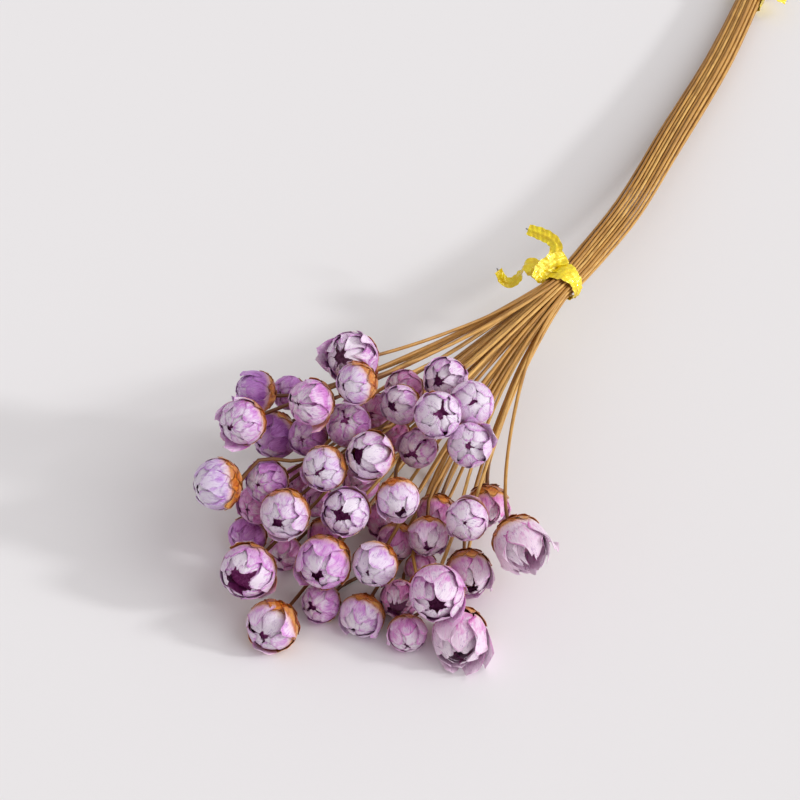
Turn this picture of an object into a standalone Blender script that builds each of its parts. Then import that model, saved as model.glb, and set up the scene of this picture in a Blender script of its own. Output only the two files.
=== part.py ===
"""A tied bunch of dried glixia (star flowers), lying on a flat surface.

Every flower stalk is one grown piece: a wiry stem and the papery bud at its
end.  The stalks are held by two twist ties: one about a third of the way up
from the flowers, one near the cut ends.

All design work is in millimetres; the solids are made in metres, +Z up, the
flowers at -Y and the cut ends at +Y, resting on z = 0.
"""
import math

import bmesh
import bpy
import numpy as np
from mathutils import Matrix, Vector

# ---------------------------------------------------------------- dimensions
MM = 0.001
STEM_D = 0.58            # stem diameter
PITCH = 0.62             # stem to stem, where a tie holds them together
FRONT_Y = 0.0            # front tie, before the origin shift
REAR_Y = 104.0           # rear tie
CUT_Y = 111.0            # cut ends, on average
CUT_JITTER = 1.1         # uneven snip of the ends
BUNDLE_TWIST = 38.0      # degrees the bundle turns between the ties
BULGE = 1.15             # how far the stems spread between the ties
BAND_W = 4.2             # twist tie: strip width,
BAND_T = 0.32            # wrapped thickness,
BAND_GAP = 0.06          # and clearance round the stems
KNOT_R = 1.05            # the twisted part of a tie
TAIL_R = 0.42            # its loose ends
ORIGIN = (-5.40, 13.48)   # centre of the footprint, from the front tie

# centre line of the bundle behind the front tie: y, x, z
SPINE = [(-12.0, -0.4, 13.0), (0.0, 2.4, 12.0), (11.0, 3.0, 9.6), (26.0, 3.6, 7.1),
         (52.0, 3.0, 4.8), (78.0, 2.7, 3.7), (104.0, 0.9, 2.96), (114.0, 0.1, 2.96)]
STATIONS = [101.6, 79.0, 52.0, 27.0, 9.5, 2.4, -2.4]
SNUG = 2.4               # half the length over which a tie keeps them close

# ------------------------------------------------------------- flower places
# The flowers were laid out by eye on a picture plane 800 units across, seen
# from VIEW_AZ degrees round from the bunch's axis and VIEW_EL degrees above
# the surface: place (u, v), radius, place of the bud's tip (u, v), whether the
# tip is turned to the viewer, how far it is open, and the layer (0 is the
# outermost), with 9 for a bud that rests on the surface.
VIEW_AZ = math.radians(26.5)
VIEW_EL = math.radians(49.0)
FOCAL = 2000.0
TIE_DIST = 352.0
TIE_SPOT = (551.0, 279.0)
TIE_Z = 12.0
DEPTHS = [314.0, 319.5, 325.5, 331.0]    # from the viewer, by layer
FLOWERS = [
    (218, 484, 26.5, 193, 487, 1, 0.10, 0),
    (243, 422, 24.0, 228, 428, 1, 0.15, 0),
    (256, 392, 22.0, 236, 388, 1, 0.10, 2),
    (275, 435, 25.0, 258, 448, 1, 0.10, 2),
    (311, 402, 24.0, 296, 404, 1, 0.10, 0),
    (289, 393, 18.0, 279, 392, 1, 0.10, 3),
    (352, 358, 27.0, 342, 358, 1, 0.80, 1),
    (357, 383, 22.0, 342, 388, 1, 0.15, 0),
    (349, 425, 23.0, 345, 419, 1, 0.20, 1),
    (308, 436, 20.0, 300, 440, 1, 0.15, 2),
    (401, 405, 20.5, 390, 406, 1, 0.35, 1),
    (404, 389, 20.0, 394, 388, 1, 0.30, 2),
    (376, 412, 19.0, 368, 414, 1, 0.20, 3),
    (446, 379, 22.0, 438, 382, 1, 0.40, 1),
    (438, 415, 24.0, 442, 414, 1, 0.35, 0),
    (471, 404, 23.5, 473, 403, 1, 0.20, 0),
    (469, 444, 23.0, 468, 445, 1, 0.20, 0),
    (418, 449, 20.0, 412, 454, 1, 0.30, 1),
    (370, 455, 25.0, 357, 456, 1, 0.60, 0),
    (325, 468, 23.0, 315, 475, 1, 0.15, 0),
    (267, 482, 22.0, 256, 486, 1, 0.10, 1),
    (257, 505, 20.0, 246, 512, 1, 0.10, 2),
    (285, 513, 25.5, 277, 524, 1, 0.30, 0),
    (346, 512, 24.0, 341, 514, 1, 0.55, 0),
    (316, 500, 18.0, 308, 508, 1, 0.20, 2),
    (362, 482, 18.0, 355, 488, 1, 0.20, 2),
    (398, 498, 22.0, 400, 514, 1, 0.35, 0),
    (437, 512, 20.0, 432, 529, 1, 0.20, 2),
    (488, 503, 21.0, 489, 522, 1, 0.50, 2),
    (467, 520, 22.0, 464, 524, 1, 0.05, 0),
    (519, 541, 27.0, 530, 561, 1, 0.60, 0),
    (428, 536, 21.0, 428, 551, 1, 0.25, 1),
    (397, 541, 20.0, 392, 557, 1, 0.20, 2),
    (468, 571, 24.0, 472, 587, 1, 0.35, 1),
    (437, 593, 28.0, 437, 605, 1, 0.55, 0),
    (398, 600, 20.0, 394, 610, 1, 0.60, 2),
    (460, 633, 28.0, 458, 654, 1, 0.70, 9),
    (407, 633, 20.0, 408, 648, 1, 0.20, 9),
    (375, 564, 23.5, 367, 575, 1, 0.10, 0),
    (324, 562, 28.0, 316, 575, 1, 0.35, 0),
    (362, 615, 23.0, 353, 632, 1, 0.15, 9),
    (321, 603, 20.0, 312, 607, 1, 0.35, 9),
    (273, 625, 27.0, 262, 637, 1, 0.20, 9),
    (248, 571, 28.5, 237, 584, 1, 0.80, 0),
    (248, 535, 20.0, 240, 544, 1, 0.15, 2),
    (285, 553, 18.0, 278, 560, 1, 0.15, 2),
    (393, 434, 18.0, 385, 438, 1, 0.15, 3),
    (386, 520, 20.0, 381, 529, 1, 0.15, 3),
    (326, 533, 19.0, 321, 547, 1, 0.10, 3),
    (299, 480, 16.0, 291, 484, 1, 0.10, 3),
    (421, 566, 16.0, 424, 577, 1, 0.20, 3),
]
# loose ends of the ties: points across, along and up from the tie's centre
FRONT_ENDS = ([(-1.6, 1.2, 2.7), (-2.4, 3.0, 4.2), (-3.2, 4.6, 5.1), (-6.2, 4.8, 5.4), (-9.8, 4.0, 5.2)],
              [(-3.7, -0.4, 0.2), (-5.6, -0.9, 0.7), (-7.3, -1.5, 0.6), (-8.4, -2.6, -2.2), (-9.6, -3.2, -2.7),
               (-11.4, -3.4, -1.0)])
REAR_ENDS = ([(2.6, -0.4, 1.7), (3.6, -1.0, 2.4), (5.0, -1.4, 2.4), (6.4, -1.2, 1.6), (7.4, -0.6, 0.8)],
             [(2.6, 0.4, 1.7), (3.2, 1.4, 2.6), (3.4, 2.8, 3.2), (4.2, 4.0, 3.0), (5.4, 4.6, 2.4)])


# ------------------------------------------------------------------- vectors
def unit(v):
    return v / math.sqrt(float((v * v).sum()))


def dot(a, b):
    return float((a * b).sum())


def wobble(i, k):
    """A repeatable value from -1 to 1 for flower i."""
    x = math.sin(i * 12.9898 + k * 78.233) * 43758.5453
    return 2.0 * (x - math.floor(x)) - 1.0


# ------------------------------------------------------------------ the buds
def viewpoint():
    a, e = VIEW_AZ, VIEW_EL
    right = np.array([math.cos(a), math.sin(a), 0.0])
    back = np.array([math.sin(a) * math.cos(e), -math.cos(a) * math.cos(e), math.sin(e)])
    up = np.array([-math.sin(a) * math.sin(e), math.cos(a) * math.sin(e), math.cos(e)])
    tie = np.array([0.0, 0.0, TIE_Z])
    eye = (tie + TIE_DIST * back - right * TIE_DIST * (TIE_SPOT[0] - 400.0) / FOCAL
           - up * TIE_DIST * (400.0 - TIE_SPOT[1]) / FOCAL)
    return right, up, back, eye, tie


def place_buds():
    """Centre, radius and axis of each bud: on its line of sight, at its layer's
    depth or on the surface, pushed apart until none meets another."""
    right, up, back, eye, tie = viewpoint()
    pos, rad, rays, fixed = [], [], [], []
    for (u, v, r, tu, tv, facing, opened, layer) in FLOWERS:
        d = unit(right * (u - 400.0) / FOCAL + up * (400.0 - v) / FOCAL - back)
        if layer == 9:
            # its centre is 0.84 of its radius up: it is pressed flat a little
            s = eye[2] / (0.84 * 0.96 * r / FOCAL - d[2])
        else:
            s = DEPTHS[layer] / -dot(d, back)
            s = min(s, eye[2] / (1.04 * 0.96 * r / FOCAL - d[2]))
        pos.append(eye + s * d)
        rad.append(0.96 * r * s / FOCAL)
        rays.append(d)
        fixed.append(layer == 9)
    pos, rad, rays = np.array(pos), np.array(rad), np.array(rays)
    free = np.where(np.array(fixed), 0.0, 1.0)[:, None]
    start = pos.copy()
    n = len(pos)
    share = free / np.maximum(free + free[:, 0][None, :], 1.0)
    for step in range(600):
        w = pos[:, None, :] - pos[None, :, :]
        dist = np.sqrt((w * w).sum(-1)) + np.eye(n) * 1e3
        over = np.maximum(rad[:, None] + rad[None, :] + 0.03 - dist, 0.0)
        push = (w / dist[..., None]) * (share * over)[..., None]
        move = push.sum(1)
        move[:, 2] += np.maximum(rad * 1.01 - pos[:, 2], 0.0)
        pos = pos + move * 0.8 * free
        if step < 570:
            off = pos - start
            along = (off * rays).sum(-1)[:, None] * rays
            pos = start + along * 0.999 + (off - along) * 0.93
    axes = []
    for i, (u, v, r, tu, tv, facing, opened, layer) in enumerate(FLOWERS):
        sx, sy = (tu - u) / r, (v - tv) / r
        s = math.hypot(sx, sy)
        if s > 0.95:
            sx, sy, s = sx * 0.95 / s, sy * 0.95 / s, 0.95
        b = -rays[i]
        rr = unit(right - b * dot(right, b))
        uu = np.cross(b, rr)
        axes.append(unit(rr * sx + uu * sy + b * facing * math.sqrt(1.0 - s * s)))
    return pos, rad, np.array(axes)


# ----------------------------------------------------------------- the stems
def spine(y):
    """Centre line of the bundle, smooth through SPINE."""
    k = 0
    while k < len(SPINE) - 2 and y > SPINE[k + 1][0]:
        k += 1
    p0, p1 = SPINE[k], SPINE[k + 1]
    h = p1[0] - p0[0]
    t = (y - p0[0]) / h

    def slope(j, c):
        a, b = SPINE[max(j - 1, 0)], SPINE[min(j + 1, len(SPINE) - 1)]
        return (b[c] - a[c]) / (b[0] - a[0])
    out = []
    for c in (1, 2):
        m0, m1 = slope(k, c) * h, slope(k + 1, c) * h
        out.append((2 * t**3 - 3 * t**2 + 1) * p0[c] + (t**3 - 2 * t**2 + t) * m0
                   + (-2 * t**3 + 3 * t**2) * p1[c] + (t**3 - t**2) * m1)
    return np.array([out[0], y, out[1]])


def spine_frame(y):
    """Tangent towards the cut ends, side and normal of the centre line."""
    t = unit(spine(y + 0.5) - spine(y - 0.5))
    side = unit(np.cross(t, np.array([0.0, 0.0, 1.0])))
    return t, side, np.cross(side, t)


def bulge(y):
    """How far the stems spread, as a multiple of the spacing at the ties."""
    t = min(max((y - SNUG) / (REAR_Y - 2.0 * SNUG), 0.0), 1.0)
    swell = max(math.sin(math.pi * t), 0.0) ** 0.8 * (1.0 + 0.25 * math.cos(math.pi * t))
    return 1.0 + (BULGE - 1.0) * swell


def slots(n):
    """Places of the stems in a tie: the n innermost of a close packing."""
    pts = []
    for a in range(-6, 7):
        for b in range(-6, 7):
            x, z = (a + 0.5 * b + 0.21) * PITCH, (b * math.sqrt(0.75) + 0.13) * PITCH
            pts.append((math.hypot(x, z), x, z))
    pts.sort()
    return np.array([(x, z) for (r, x, z) in pts[:n]])


def match(places, goals):
    """Give each stem the slot on its own side, so that no two cross: swap
    pairs until every pair is in the same order in both patterns."""
    n = len(places)
    order = list(range(n))
    first = sorted(range(n), key=lambda i: goals[i][0] * 3.0 + goals[i][1])
    second = sorted(range(n), key=lambda i: places[i][0] * 3.0 + places[i][1])
    for i, j in zip(first, second):
        order[i] = j
    changed = True
    while changed:
        changed = False
        for i in range(n):
            for j in range(i + 1, n):
                ds = places[order[i]] - places[order[j]]
                dg = goals[i] - goals[j]
                if dot(ds, dg) < -1e-9:
                    order[i], order[j] = order[j], order[i]
                    changed = True
    return order


def closest(p1, q1, p2, q2):
    """Nearest points of two sets of segments, as fractions along each."""
    d1, d2, r = q1 - p1, q2 - p2, p1 - p2
    a, e = (d1 * d1).sum(-1), (d2 * d2).sum(-1)
    f, c, b = (d2 * r).sum(-1), (d1 * r).sum(-1), (d1 * d2).sum(-1)
    den = a * e - b * b
    s = np.clip(np.where(den > 1e-9, (b * f - c * e) / np.maximum(den, 1e-9), 0.5), 0.0, 1.0)
    t = np.clip((b * s + f) / e, 0.0, 1.0)
    s = np.clip((b * t - c) / a, 0.0, 1.0)
    return s, t


def lay_stems(pos, rad, axes):
    """Centre line of every stem, from the cut end to inside its bud."""
    tie = spine(STATIONS[-1])
    t0, side0, norm0 = spine_frame(STATIONS[-1])
    n = len(pos)
    base = pos - axes * (rad * 0.90)[:, None]
    goals = []
    for i in range(n):
        w = base[i] - axes[i] * 5.0 - tie
        ahead = -dot(w, t0)
        goals.append((dot(w, side0) / ahead, dot(w, norm0) / ahead))
    goals = np.array(goals)
    places = slots(n)
    order = match(places, goals)
    stems = []
    for i in range(n):
        sx, sz = places[order[i]]
        pts = []
        for y in [CUT_Y + CUT_JITTER * wobble(i, 1)] + STATIONS:
            t, side, norm = spine_frame(y)
            turn = math.radians(BUNDLE_TWIST) * y / REAR_Y
            c, s = math.cos(turn), math.sin(turn)
            m = bulge(y)
            pts.append(spine(y) + (side * (c * sx - s * sz) + norm * (s * sx + c * sz)) * m)
        start = pts[-1]
        reach = math.sqrt(((base[i] - start) ** 2).sum())
        neck = 7.0 + 2.0 * wobble(i, 2)
        aim = unit(base[i] - axes[i] * neck - start)
        go = unit(aim * 0.30 - t0 * 0.70)
        b0, b1, b2, b3 = start, start + go * reach * 0.36, base[i] - axes[i] * neck, base[i]
        for q in (0.28, 0.52, 0.73, 0.88, 1.0):
            r = 1.0 - q
            pts.append(b0 * r**3 + b1 * 3 * r * r * q + b2 * 3 * r * q * q + b3 * q**3)
        pts.append(pos[i] - axes[i] * rad[i] * 0.45)
        stems.append(pts)
    stems = np.array(stems)
    rows = stems.shape[1]
    first = len(STATIONS)                 # the last point held by the front tie
    # push apart what runs too close on the flowers' side of the tie
    seg = [(i, k) for i in range(n) for k in range(first, rows - 2)]
    si = np.array([a for a, b in seg])
    sk = np.array([b for a, b in seg])
    ia, ib = np.triu_indices(len(seg), 1)
    keep = si[ia] != si[ib]
    ia, ib = ia[keep], ib[keep]
    mid = 0.5 * (stems[si, sk] + stems[si, sk + 1])
    length = np.sqrt(((stems[si, sk] - stems[si, sk + 1]) ** 2).sum(-1))
    near = np.sqrt(((mid[ia] - mid[ib]) ** 2).sum(-1)) < 0.5 * (length[ia] + length[ib]) + 5.0
    ia, ib = ia[near], ib[near]
    hs, hh = np.meshgrid(np.arange(len(seg)), np.arange(n), indexing="ij")
    hs, hh = hs.ravel(), hh.ravel()
    keep = si[hs] != hh
    hs, hh = hs[keep], hh[keep]
    movable = np.zeros(rows)
    movable[first + 1:rows - 2] = 1.0
    movable[rows - 3] = 0.6
    rest = stems.copy()
    gap = STEM_D + 0.055
    for step in range(260):
        shift = np.zeros_like(stems)
        weight = np.zeros(stems.shape[:2])
        a, b = stems[si[ia], sk[ia]], stems[si[ia], sk[ia] + 1]
        c, d = stems[si[ib], sk[ib]], stems[si[ib], sk[ib] + 1]
        s, t = closest(a, b, c, d)
        w = (a + (b - a) * s[:, None]) - (c + (d - c) * t[:, None])
        dist = np.sqrt((w * w).sum(-1)) + 1e-9
        over = np.maximum(gap - dist, 0.0)
        hit = over > 0.0
        if hit.any():
            f = (w[hit] / dist[hit][:, None]) * (0.5 * over[hit])[:, None]
            for idx, sign, q in ((ia[hit], 1.0, s[hit]), (ib[hit], -1.0, t[hit])):
                np.add.at(shift, (si[idx], sk[idx]), sign * f * (1.0 - q)[:, None])
                np.add.at(shift, (si[idx], sk[idx] + 1), sign * f * q[:, None])
                np.add.at(weight, (si[idx], sk[idx]), 1.0 - q)
                np.add.at(weight, (si[idx], sk[idx] + 1), q)
        a, b = stems[si[hs], sk[hs]], stems[si[hs], sk[hs] + 1]
        ab = b - a
        q = np.clip(((pos[hh] - a) * ab).sum(-1) / (ab * ab).sum(-1), 0.0, 1.0)
        w = a + ab * q[:, None] - pos[hh]
        dist = np.sqrt((w * w).sum(-1)) + 1e-9
        over = np.maximum(rad[hh] + STEM_D * 0.5 + 0.15 - dist, 0.0)
        hit = over > 0.0
        if hit.any():
            f = (w[hit] / dist[hit][:, None]) * over[hit][:, None]
            idx = hs[hit]
            np.add.at(shift, (si[idx], sk[idx]), f * (1.0 - q[hit])[:, None])
            np.add.at(shift, (si[idx], sk[idx] + 1), f * q[hit][:, None])
            np.add.at(weight, (si[idx], sk[idx]), 1.0 - q[hit])
            np.add.at(weight, (si[idx], sk[idx] + 1), q[hit])
        stems = stems + shift * movable[None, :, None] / np.maximum(weight, 1.0)[..., None] * 1.3
        low = stems[:, first:rows - 2, 2]
        stems[:, first:rows - 2, 2] = np.maximum(low, STEM_D * 0.75)
        if step < 200:
            stems = stems + (rest - stems) * 0.01
    return stems


# -------------------------------------------------------------------- solids
def material(name, colour, rough, metal=0.0):
    m = bpy.data.materials.new(name)
    m.use_nodes = True
    b = m.node_tree.nodes["Principled BSDF"]
    b.inputs["Base Color"].default_value = (*colour, 1.0)
    b.inputs["Roughness"].default_value = rough
    b.inputs["Metallic"].default_value = metal
    m.diffuse_color = (*colour, 1.0)
    return m


def tube(name, points, radius, sides, group):
    """A round rod through the points (mm), its ends capped, as a mesh."""
    curve = bpy.data.curves.new(name + "_path", "CURVE")
    curve.dimensions = "3D"
    curve.bevel_depth = radius * MM
    curve.bevel_resolution = (sides - 4) // 2
    curve.use_fill_caps = True
    line = curve.splines.new("POLY")
    line.points.add(len(points) - 1)
    for p, q in zip(line.points, points):
        p.co = (q[0] * MM, q[1] * MM, q[2] * MM, 1.0)
    rod = bpy.data.objects.new(name + "_rod", curve)
    group.objects.link(rod)
    graph = bpy.context.evaluated_depsgraph_get()
    graph.update()
    mesh = bpy.data.meshes.new_from_object(rod.evaluated_get(graph))
    bm = bmesh.new()
    bm.from_mesh(mesh)
    bmesh.ops.remove_doubles(bm, verts=bm.verts, dist=1e-7)
    bmesh.ops.recalc_face_normals(bm, faces=bm.faces)
    bm.to_mesh(mesh)
    bm.free()
    mesh.name = name
    bpy.data.objects.remove(rod)
    bpy.data.curves.remove(curve)
    return mesh


def turned(name, profile, steps, where, axis, size, group):
    """A turned shape: the profile (radius, height) spun about its axis."""
    mesh = bpy.data.meshes.new(name)
    bm = bmesh.new()
    last = None
    for r, z in profile:
        v = bm.verts.new((r * size * MM, 0.0, z * size * MM))
        if last is not None:
            bm.edges.new((last, v))
        last = v
    bm.to_mesh(mesh)
    bm.free()
    obj = bpy.data.objects.new(name, mesh)
    group.objects.link(obj)
    z = Vector(axis).normalized()
    x = z.orthogonal().normalized()
    y = z.cross(x)
    turn = Matrix((x, y, z)).transposed().to_4x4()
    obj.matrix_world = Matrix.Translation(Vector(where) * MM) @ turn
    screw = obj.modifiers.new("turn", "SCREW")
    screw.angle = math.tau
    screw.steps = steps
    screw.render_steps = steps
    screw.use_merge_vertices = True
    screw.merge_threshold = 0.00001
    screw.use_normal_calculate = True
    return obj


def join(target, tool, kind="UNION"):
    mod = target.modifiers.new("join_" + tool.name, "BOOLEAN")
    mod.operation = kind
    mod.solver = "EXACT"
    mod.object = tool
    tool.hide_render = True
    tool.display_type = "WIRE"
    return mod


def smooth(mesh):
    mesh.shade_smooth()
    mesh.set_sharp_from_angle(angle=math.radians(50.0))


def bud_profile(opened):
    """Outer line of a bud, as fractions of its radius: rounded, with a
    dimple where its bracts part."""
    lip = 0.28 + 0.32 * opened
    deep = 0.80 - 0.55 * opened
    return [(0.0, deep), (lip, 0.93 - 0.12 * opened), (0.82, 0.47), (0.955, -0.10),
            (0.70, -0.66), (0.24, -0.94), (0.0, -0.94)]


def tie_lines(y, swing, ends):
    """The twisted part and the two loose ends of a twist tie round the
    bundle at y; the twist stands out at angle `swing` round it."""
    t, side, norm = spine_frame(y)
    c = spine(y)
    out = side * math.cos(swing) + norm * math.sin(swing)
    r = band_radius()
    knot = [c + out * (r + 0.02), c + out * (r + 0.8) + t * 0.2, c + out * (r + 1.8) - t * 0.2]
    one, two = ([c + side * p[0] + t * p[1] + norm * p[2] for p in end] for end in ends)
    return knot, one, two


def band_radius():
    far = max(math.hypot(x, z) for x, z in slots(len(FLOWERS)))
    return far + STEM_D * 0.5 + BAND_GAP


def make_tie(name, y, swing, ends, parts, tools, look, shift):
    t, side, norm = spine_frame(y)
    c = spine(y) + shift
    inner = band_radius()
    outer = inner + BAND_T
    half = BAND_W * 0.5
    band = turned(name, [(outer, half), (outer, -half), (inner, -half), (inner, half), (outer, half)],
                  20, c, t, 1.0, parts)
    knot, one, two = tie_lines(y, swing, ends)
    for k, (line, rad) in enumerate(((knot, KNOT_R), (one, TAIL_R), (two, TAIL_R))):
        mesh = tube("%s_strand_%d" % (name, k), [p + shift for p in line], rad, 8, tools)
        piece = bpy.data.objects.new(mesh.name, mesh)
        tools.objects.link(piece)
        join(band, piece)
    band.data.materials.append(look)
    return band


def main():
    for o in list(bpy.data.objects):
        bpy.data.objects.remove(o, do_unlink=True)
    parts = bpy.data.collections.new("dried_glixia_bunch")
    tools = bpy.data.collections.new("cutters")
    bpy.context.scene.collection.children.link(parts)
    bpy.context.scene.collection.children.link(tools)

    root = bpy.data.objects.new("bunch", None)
    parts.objects.link(root)

    shift = np.array([-ORIGIN[0], -ORIGIN[1], 0.0])
    petal = material("papery_lilac_bracts", (0.62, 0.47, 0.66), 0.7)
    foil = material("yellow_foil_tie", (0.83, 0.66, 0.03), 0.3)

    # the surface it lies on, which presses the lowest buds flat
    bpy.ops.mesh.primitive_cube_add(size=1.0, location=(0.0, 0.0, -0.01))
    table = bpy.context.object
    table.name = "surface"
    table.scale = (0.3, 0.3, 0.02)
    for group in list(table.users_collection):
        group.objects.unlink(table)
    tools.objects.link(table)
    table.hide_render = True
    table.display_type = "WIRE"

    pos, rad, axes = place_buds()
    stems = lay_stems(pos, rad, axes)
    for i in range(len(FLOWERS)):
        name = "flower_%02d" % (i + 1)
        opened, layer = FLOWERS[i][6], FLOWERS[i][7]
        mesh = tube(name, stems[i] + shift, STEM_D * 0.5, 6, tools)
        mesh.materials.append(petal)
        stalk = bpy.data.objects.new(name, mesh)
        parts.objects.link(stalk)
        stalk.parent = root
        bud = turned(name + "_bud", bud_profile(opened), 8, pos[i] + shift, axes[i], rad[i], tools)
        bud.data.materials.append(petal)
        join(stalk, bud)
        if layer == 9:
            join(stalk, table, "DIFFERENCE")
        smooth(mesh)

    for tie in (make_tie("front_tie", FRONT_Y, math.radians(172.0), FRONT_ENDS,
                         parts, tools, foil, shift),
                make_tie("rear_tie", REAR_Y, math.radians(32.0), REAR_ENDS,
                         parts, tools, foil, shift)):
        tie.parent = root
        join(tie, table, "DIFFERENCE")
        smooth(tie.data)


main()
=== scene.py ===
"""Looks of a tied bunch of dried glixia: papery buds made of separate bracts,
amber base scales, wiry stems and two foil twist ties."""
import math

import bpy
import numpy as np
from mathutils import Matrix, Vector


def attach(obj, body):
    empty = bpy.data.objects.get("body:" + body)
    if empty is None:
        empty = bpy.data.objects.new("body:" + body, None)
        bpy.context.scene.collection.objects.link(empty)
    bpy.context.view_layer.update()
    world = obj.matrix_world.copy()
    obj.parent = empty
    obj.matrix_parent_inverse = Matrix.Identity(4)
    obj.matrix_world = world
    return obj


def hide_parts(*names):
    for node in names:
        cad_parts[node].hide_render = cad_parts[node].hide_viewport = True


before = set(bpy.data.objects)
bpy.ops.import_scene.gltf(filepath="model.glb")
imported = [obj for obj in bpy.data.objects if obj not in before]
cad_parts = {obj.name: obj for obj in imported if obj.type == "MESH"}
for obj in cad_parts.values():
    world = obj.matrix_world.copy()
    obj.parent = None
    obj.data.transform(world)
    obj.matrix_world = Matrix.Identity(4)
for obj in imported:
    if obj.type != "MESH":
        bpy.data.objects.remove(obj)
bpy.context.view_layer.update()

MM = 0.001

# ------------------------------------------- the design, as the CAD states it
STEM_D = 0.58
PITCH = 0.62
FRONT_Y = 0.0
REAR_Y = 104.0
CUT_Y = 111.0
CUT_JITTER = 1.1
BUNDLE_TWIST = 38.0
BULGE = 1.15
BAND_GAP = 0.06
ORIGIN = (-5.40, 13.48)
SPINE = [(-12.0, -0.4, 13.0), (0.0, 2.4, 12.0), (11.0, 3.0, 9.6), (26.0, 3.6, 7.1),
         (52.0, 3.0, 4.8), (78.0, 2.7, 3.7), (104.0, 0.9, 2.96), (114.0, 0.1, 2.96)]
STATIONS = [101.6, 79.0, 52.0, 27.0, 9.5, 2.4, -2.4]
SNUG = 2.4
VIEW_AZ = math.radians(26.5)
VIEW_EL = math.radians(49.0)
FOCAL = 2000.0
TIE_DIST = 352.0
TIE_SPOT = (551.0, 279.0)
TIE_Z = 12.0
DEPTHS = [314.0, 319.5, 325.5, 331.0]
FLOWERS = [
    (218, 484, 26.5, 193, 487, 1, 0.10, 0),
    (243, 422, 24.0, 228, 428, 1, 0.15, 0),
    (256, 392, 22.0, 236, 388, 1, 0.10, 2),
    (275, 435, 25.0, 258, 448, 1, 0.10, 2),
    (311, 402, 24.0, 296, 404, 1, 0.10, 0),
    (289, 393, 18.0, 279, 392, 1, 0.10, 3),
    (352, 358, 27.0, 342, 358, 1, 0.80, 1),
    (357, 383, 22.0, 342, 388, 1, 0.15, 0),
    (349, 425, 23.0, 345, 419, 1, 0.20, 1),
    (308, 436, 20.0, 300, 440, 1, 0.15, 2),
    (401, 405, 20.5, 390, 406, 1, 0.35, 1),
    (404, 389, 20.0, 394, 388, 1, 0.30, 2),
    (376, 412, 19.0, 368, 414, 1, 0.20, 3),
    (446, 379, 22.0, 438, 382, 1, 0.40, 1),
    (438, 415, 24.0, 442, 414, 1, 0.35, 0),
    (471, 404, 23.5, 473, 403, 1, 0.20, 0),
    (469, 444, 23.0, 468, 445, 1, 0.20, 0),
    (418, 449, 20.0, 412, 454, 1, 0.30, 1),
    (370, 455, 25.0, 357, 456, 1, 0.60, 0),
    (325, 468, 23.0, 315, 475, 1, 0.15, 0),
    (267, 482, 22.0, 256, 486, 1, 0.10, 1),
    (257, 505, 20.0, 246, 512, 1, 0.10, 2),
    (285, 513, 25.5, 277, 524, 1, 0.30, 0),
    (346, 512, 24.0, 341, 514, 1, 0.55, 0),
    (316, 500, 18.0, 308, 508, 1, 0.20, 2),
    (362, 482, 18.0, 355, 488, 1, 0.20, 2),
    (398, 498, 22.0, 400, 514, 1, 0.35, 0),
    (437, 512, 20.0, 432, 529, 1, 0.20, 2),
    (488, 503, 21.0, 489, 522, 1, 0.50, 2),
    (467, 520, 22.0, 464, 524, 1, 0.05, 0),
    (519, 541, 27.0, 530, 561, 1, 0.60, 0),
    (428, 536, 21.0, 428, 551, 1, 0.25, 1),
    (397, 541, 20.0, 392, 557, 1, 0.20, 2),
    (468, 571, 24.0, 472, 587, 1, 0.35, 1),
    (437, 593, 28.0, 437, 605, 1, 0.55, 0),
    (398, 600, 20.0, 394, 610, 1, 0.60, 2),
    (460, 633, 28.0, 458, 654, 1, 0.70, 9),
    (407, 633, 20.0, 408, 648, 1, 0.20, 9),
    (375, 564, 23.5, 367, 575, 1, 0.10, 0),
    (324, 562, 28.0, 316, 575, 1, 0.35, 0),
    (362, 615, 23.0, 353, 632, 1, 0.15, 9),
    (321, 603, 20.0, 312, 607, 1, 0.35, 9),
    (273, 625, 27.0, 262, 637, 1, 0.20, 9),
    (248, 571, 28.5, 237, 584, 1, 0.80, 0),
    (248, 535, 20.0, 240, 544, 1, 0.15, 2),
    (285, 553, 18.0, 278, 560, 1, 0.15, 2),
    (393, 434, 18.0, 385, 438, 1, 0.15, 3),
    (386, 520, 20.0, 381, 529, 1, 0.15, 3),
    (326, 533, 19.0, 321, 547, 1, 0.10, 3),
    (299, 480, 16.0, 291, 484, 1, 0.10, 3),
    (421, 566, 16.0, 424, 577, 1, 0.20, 3),
]
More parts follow.
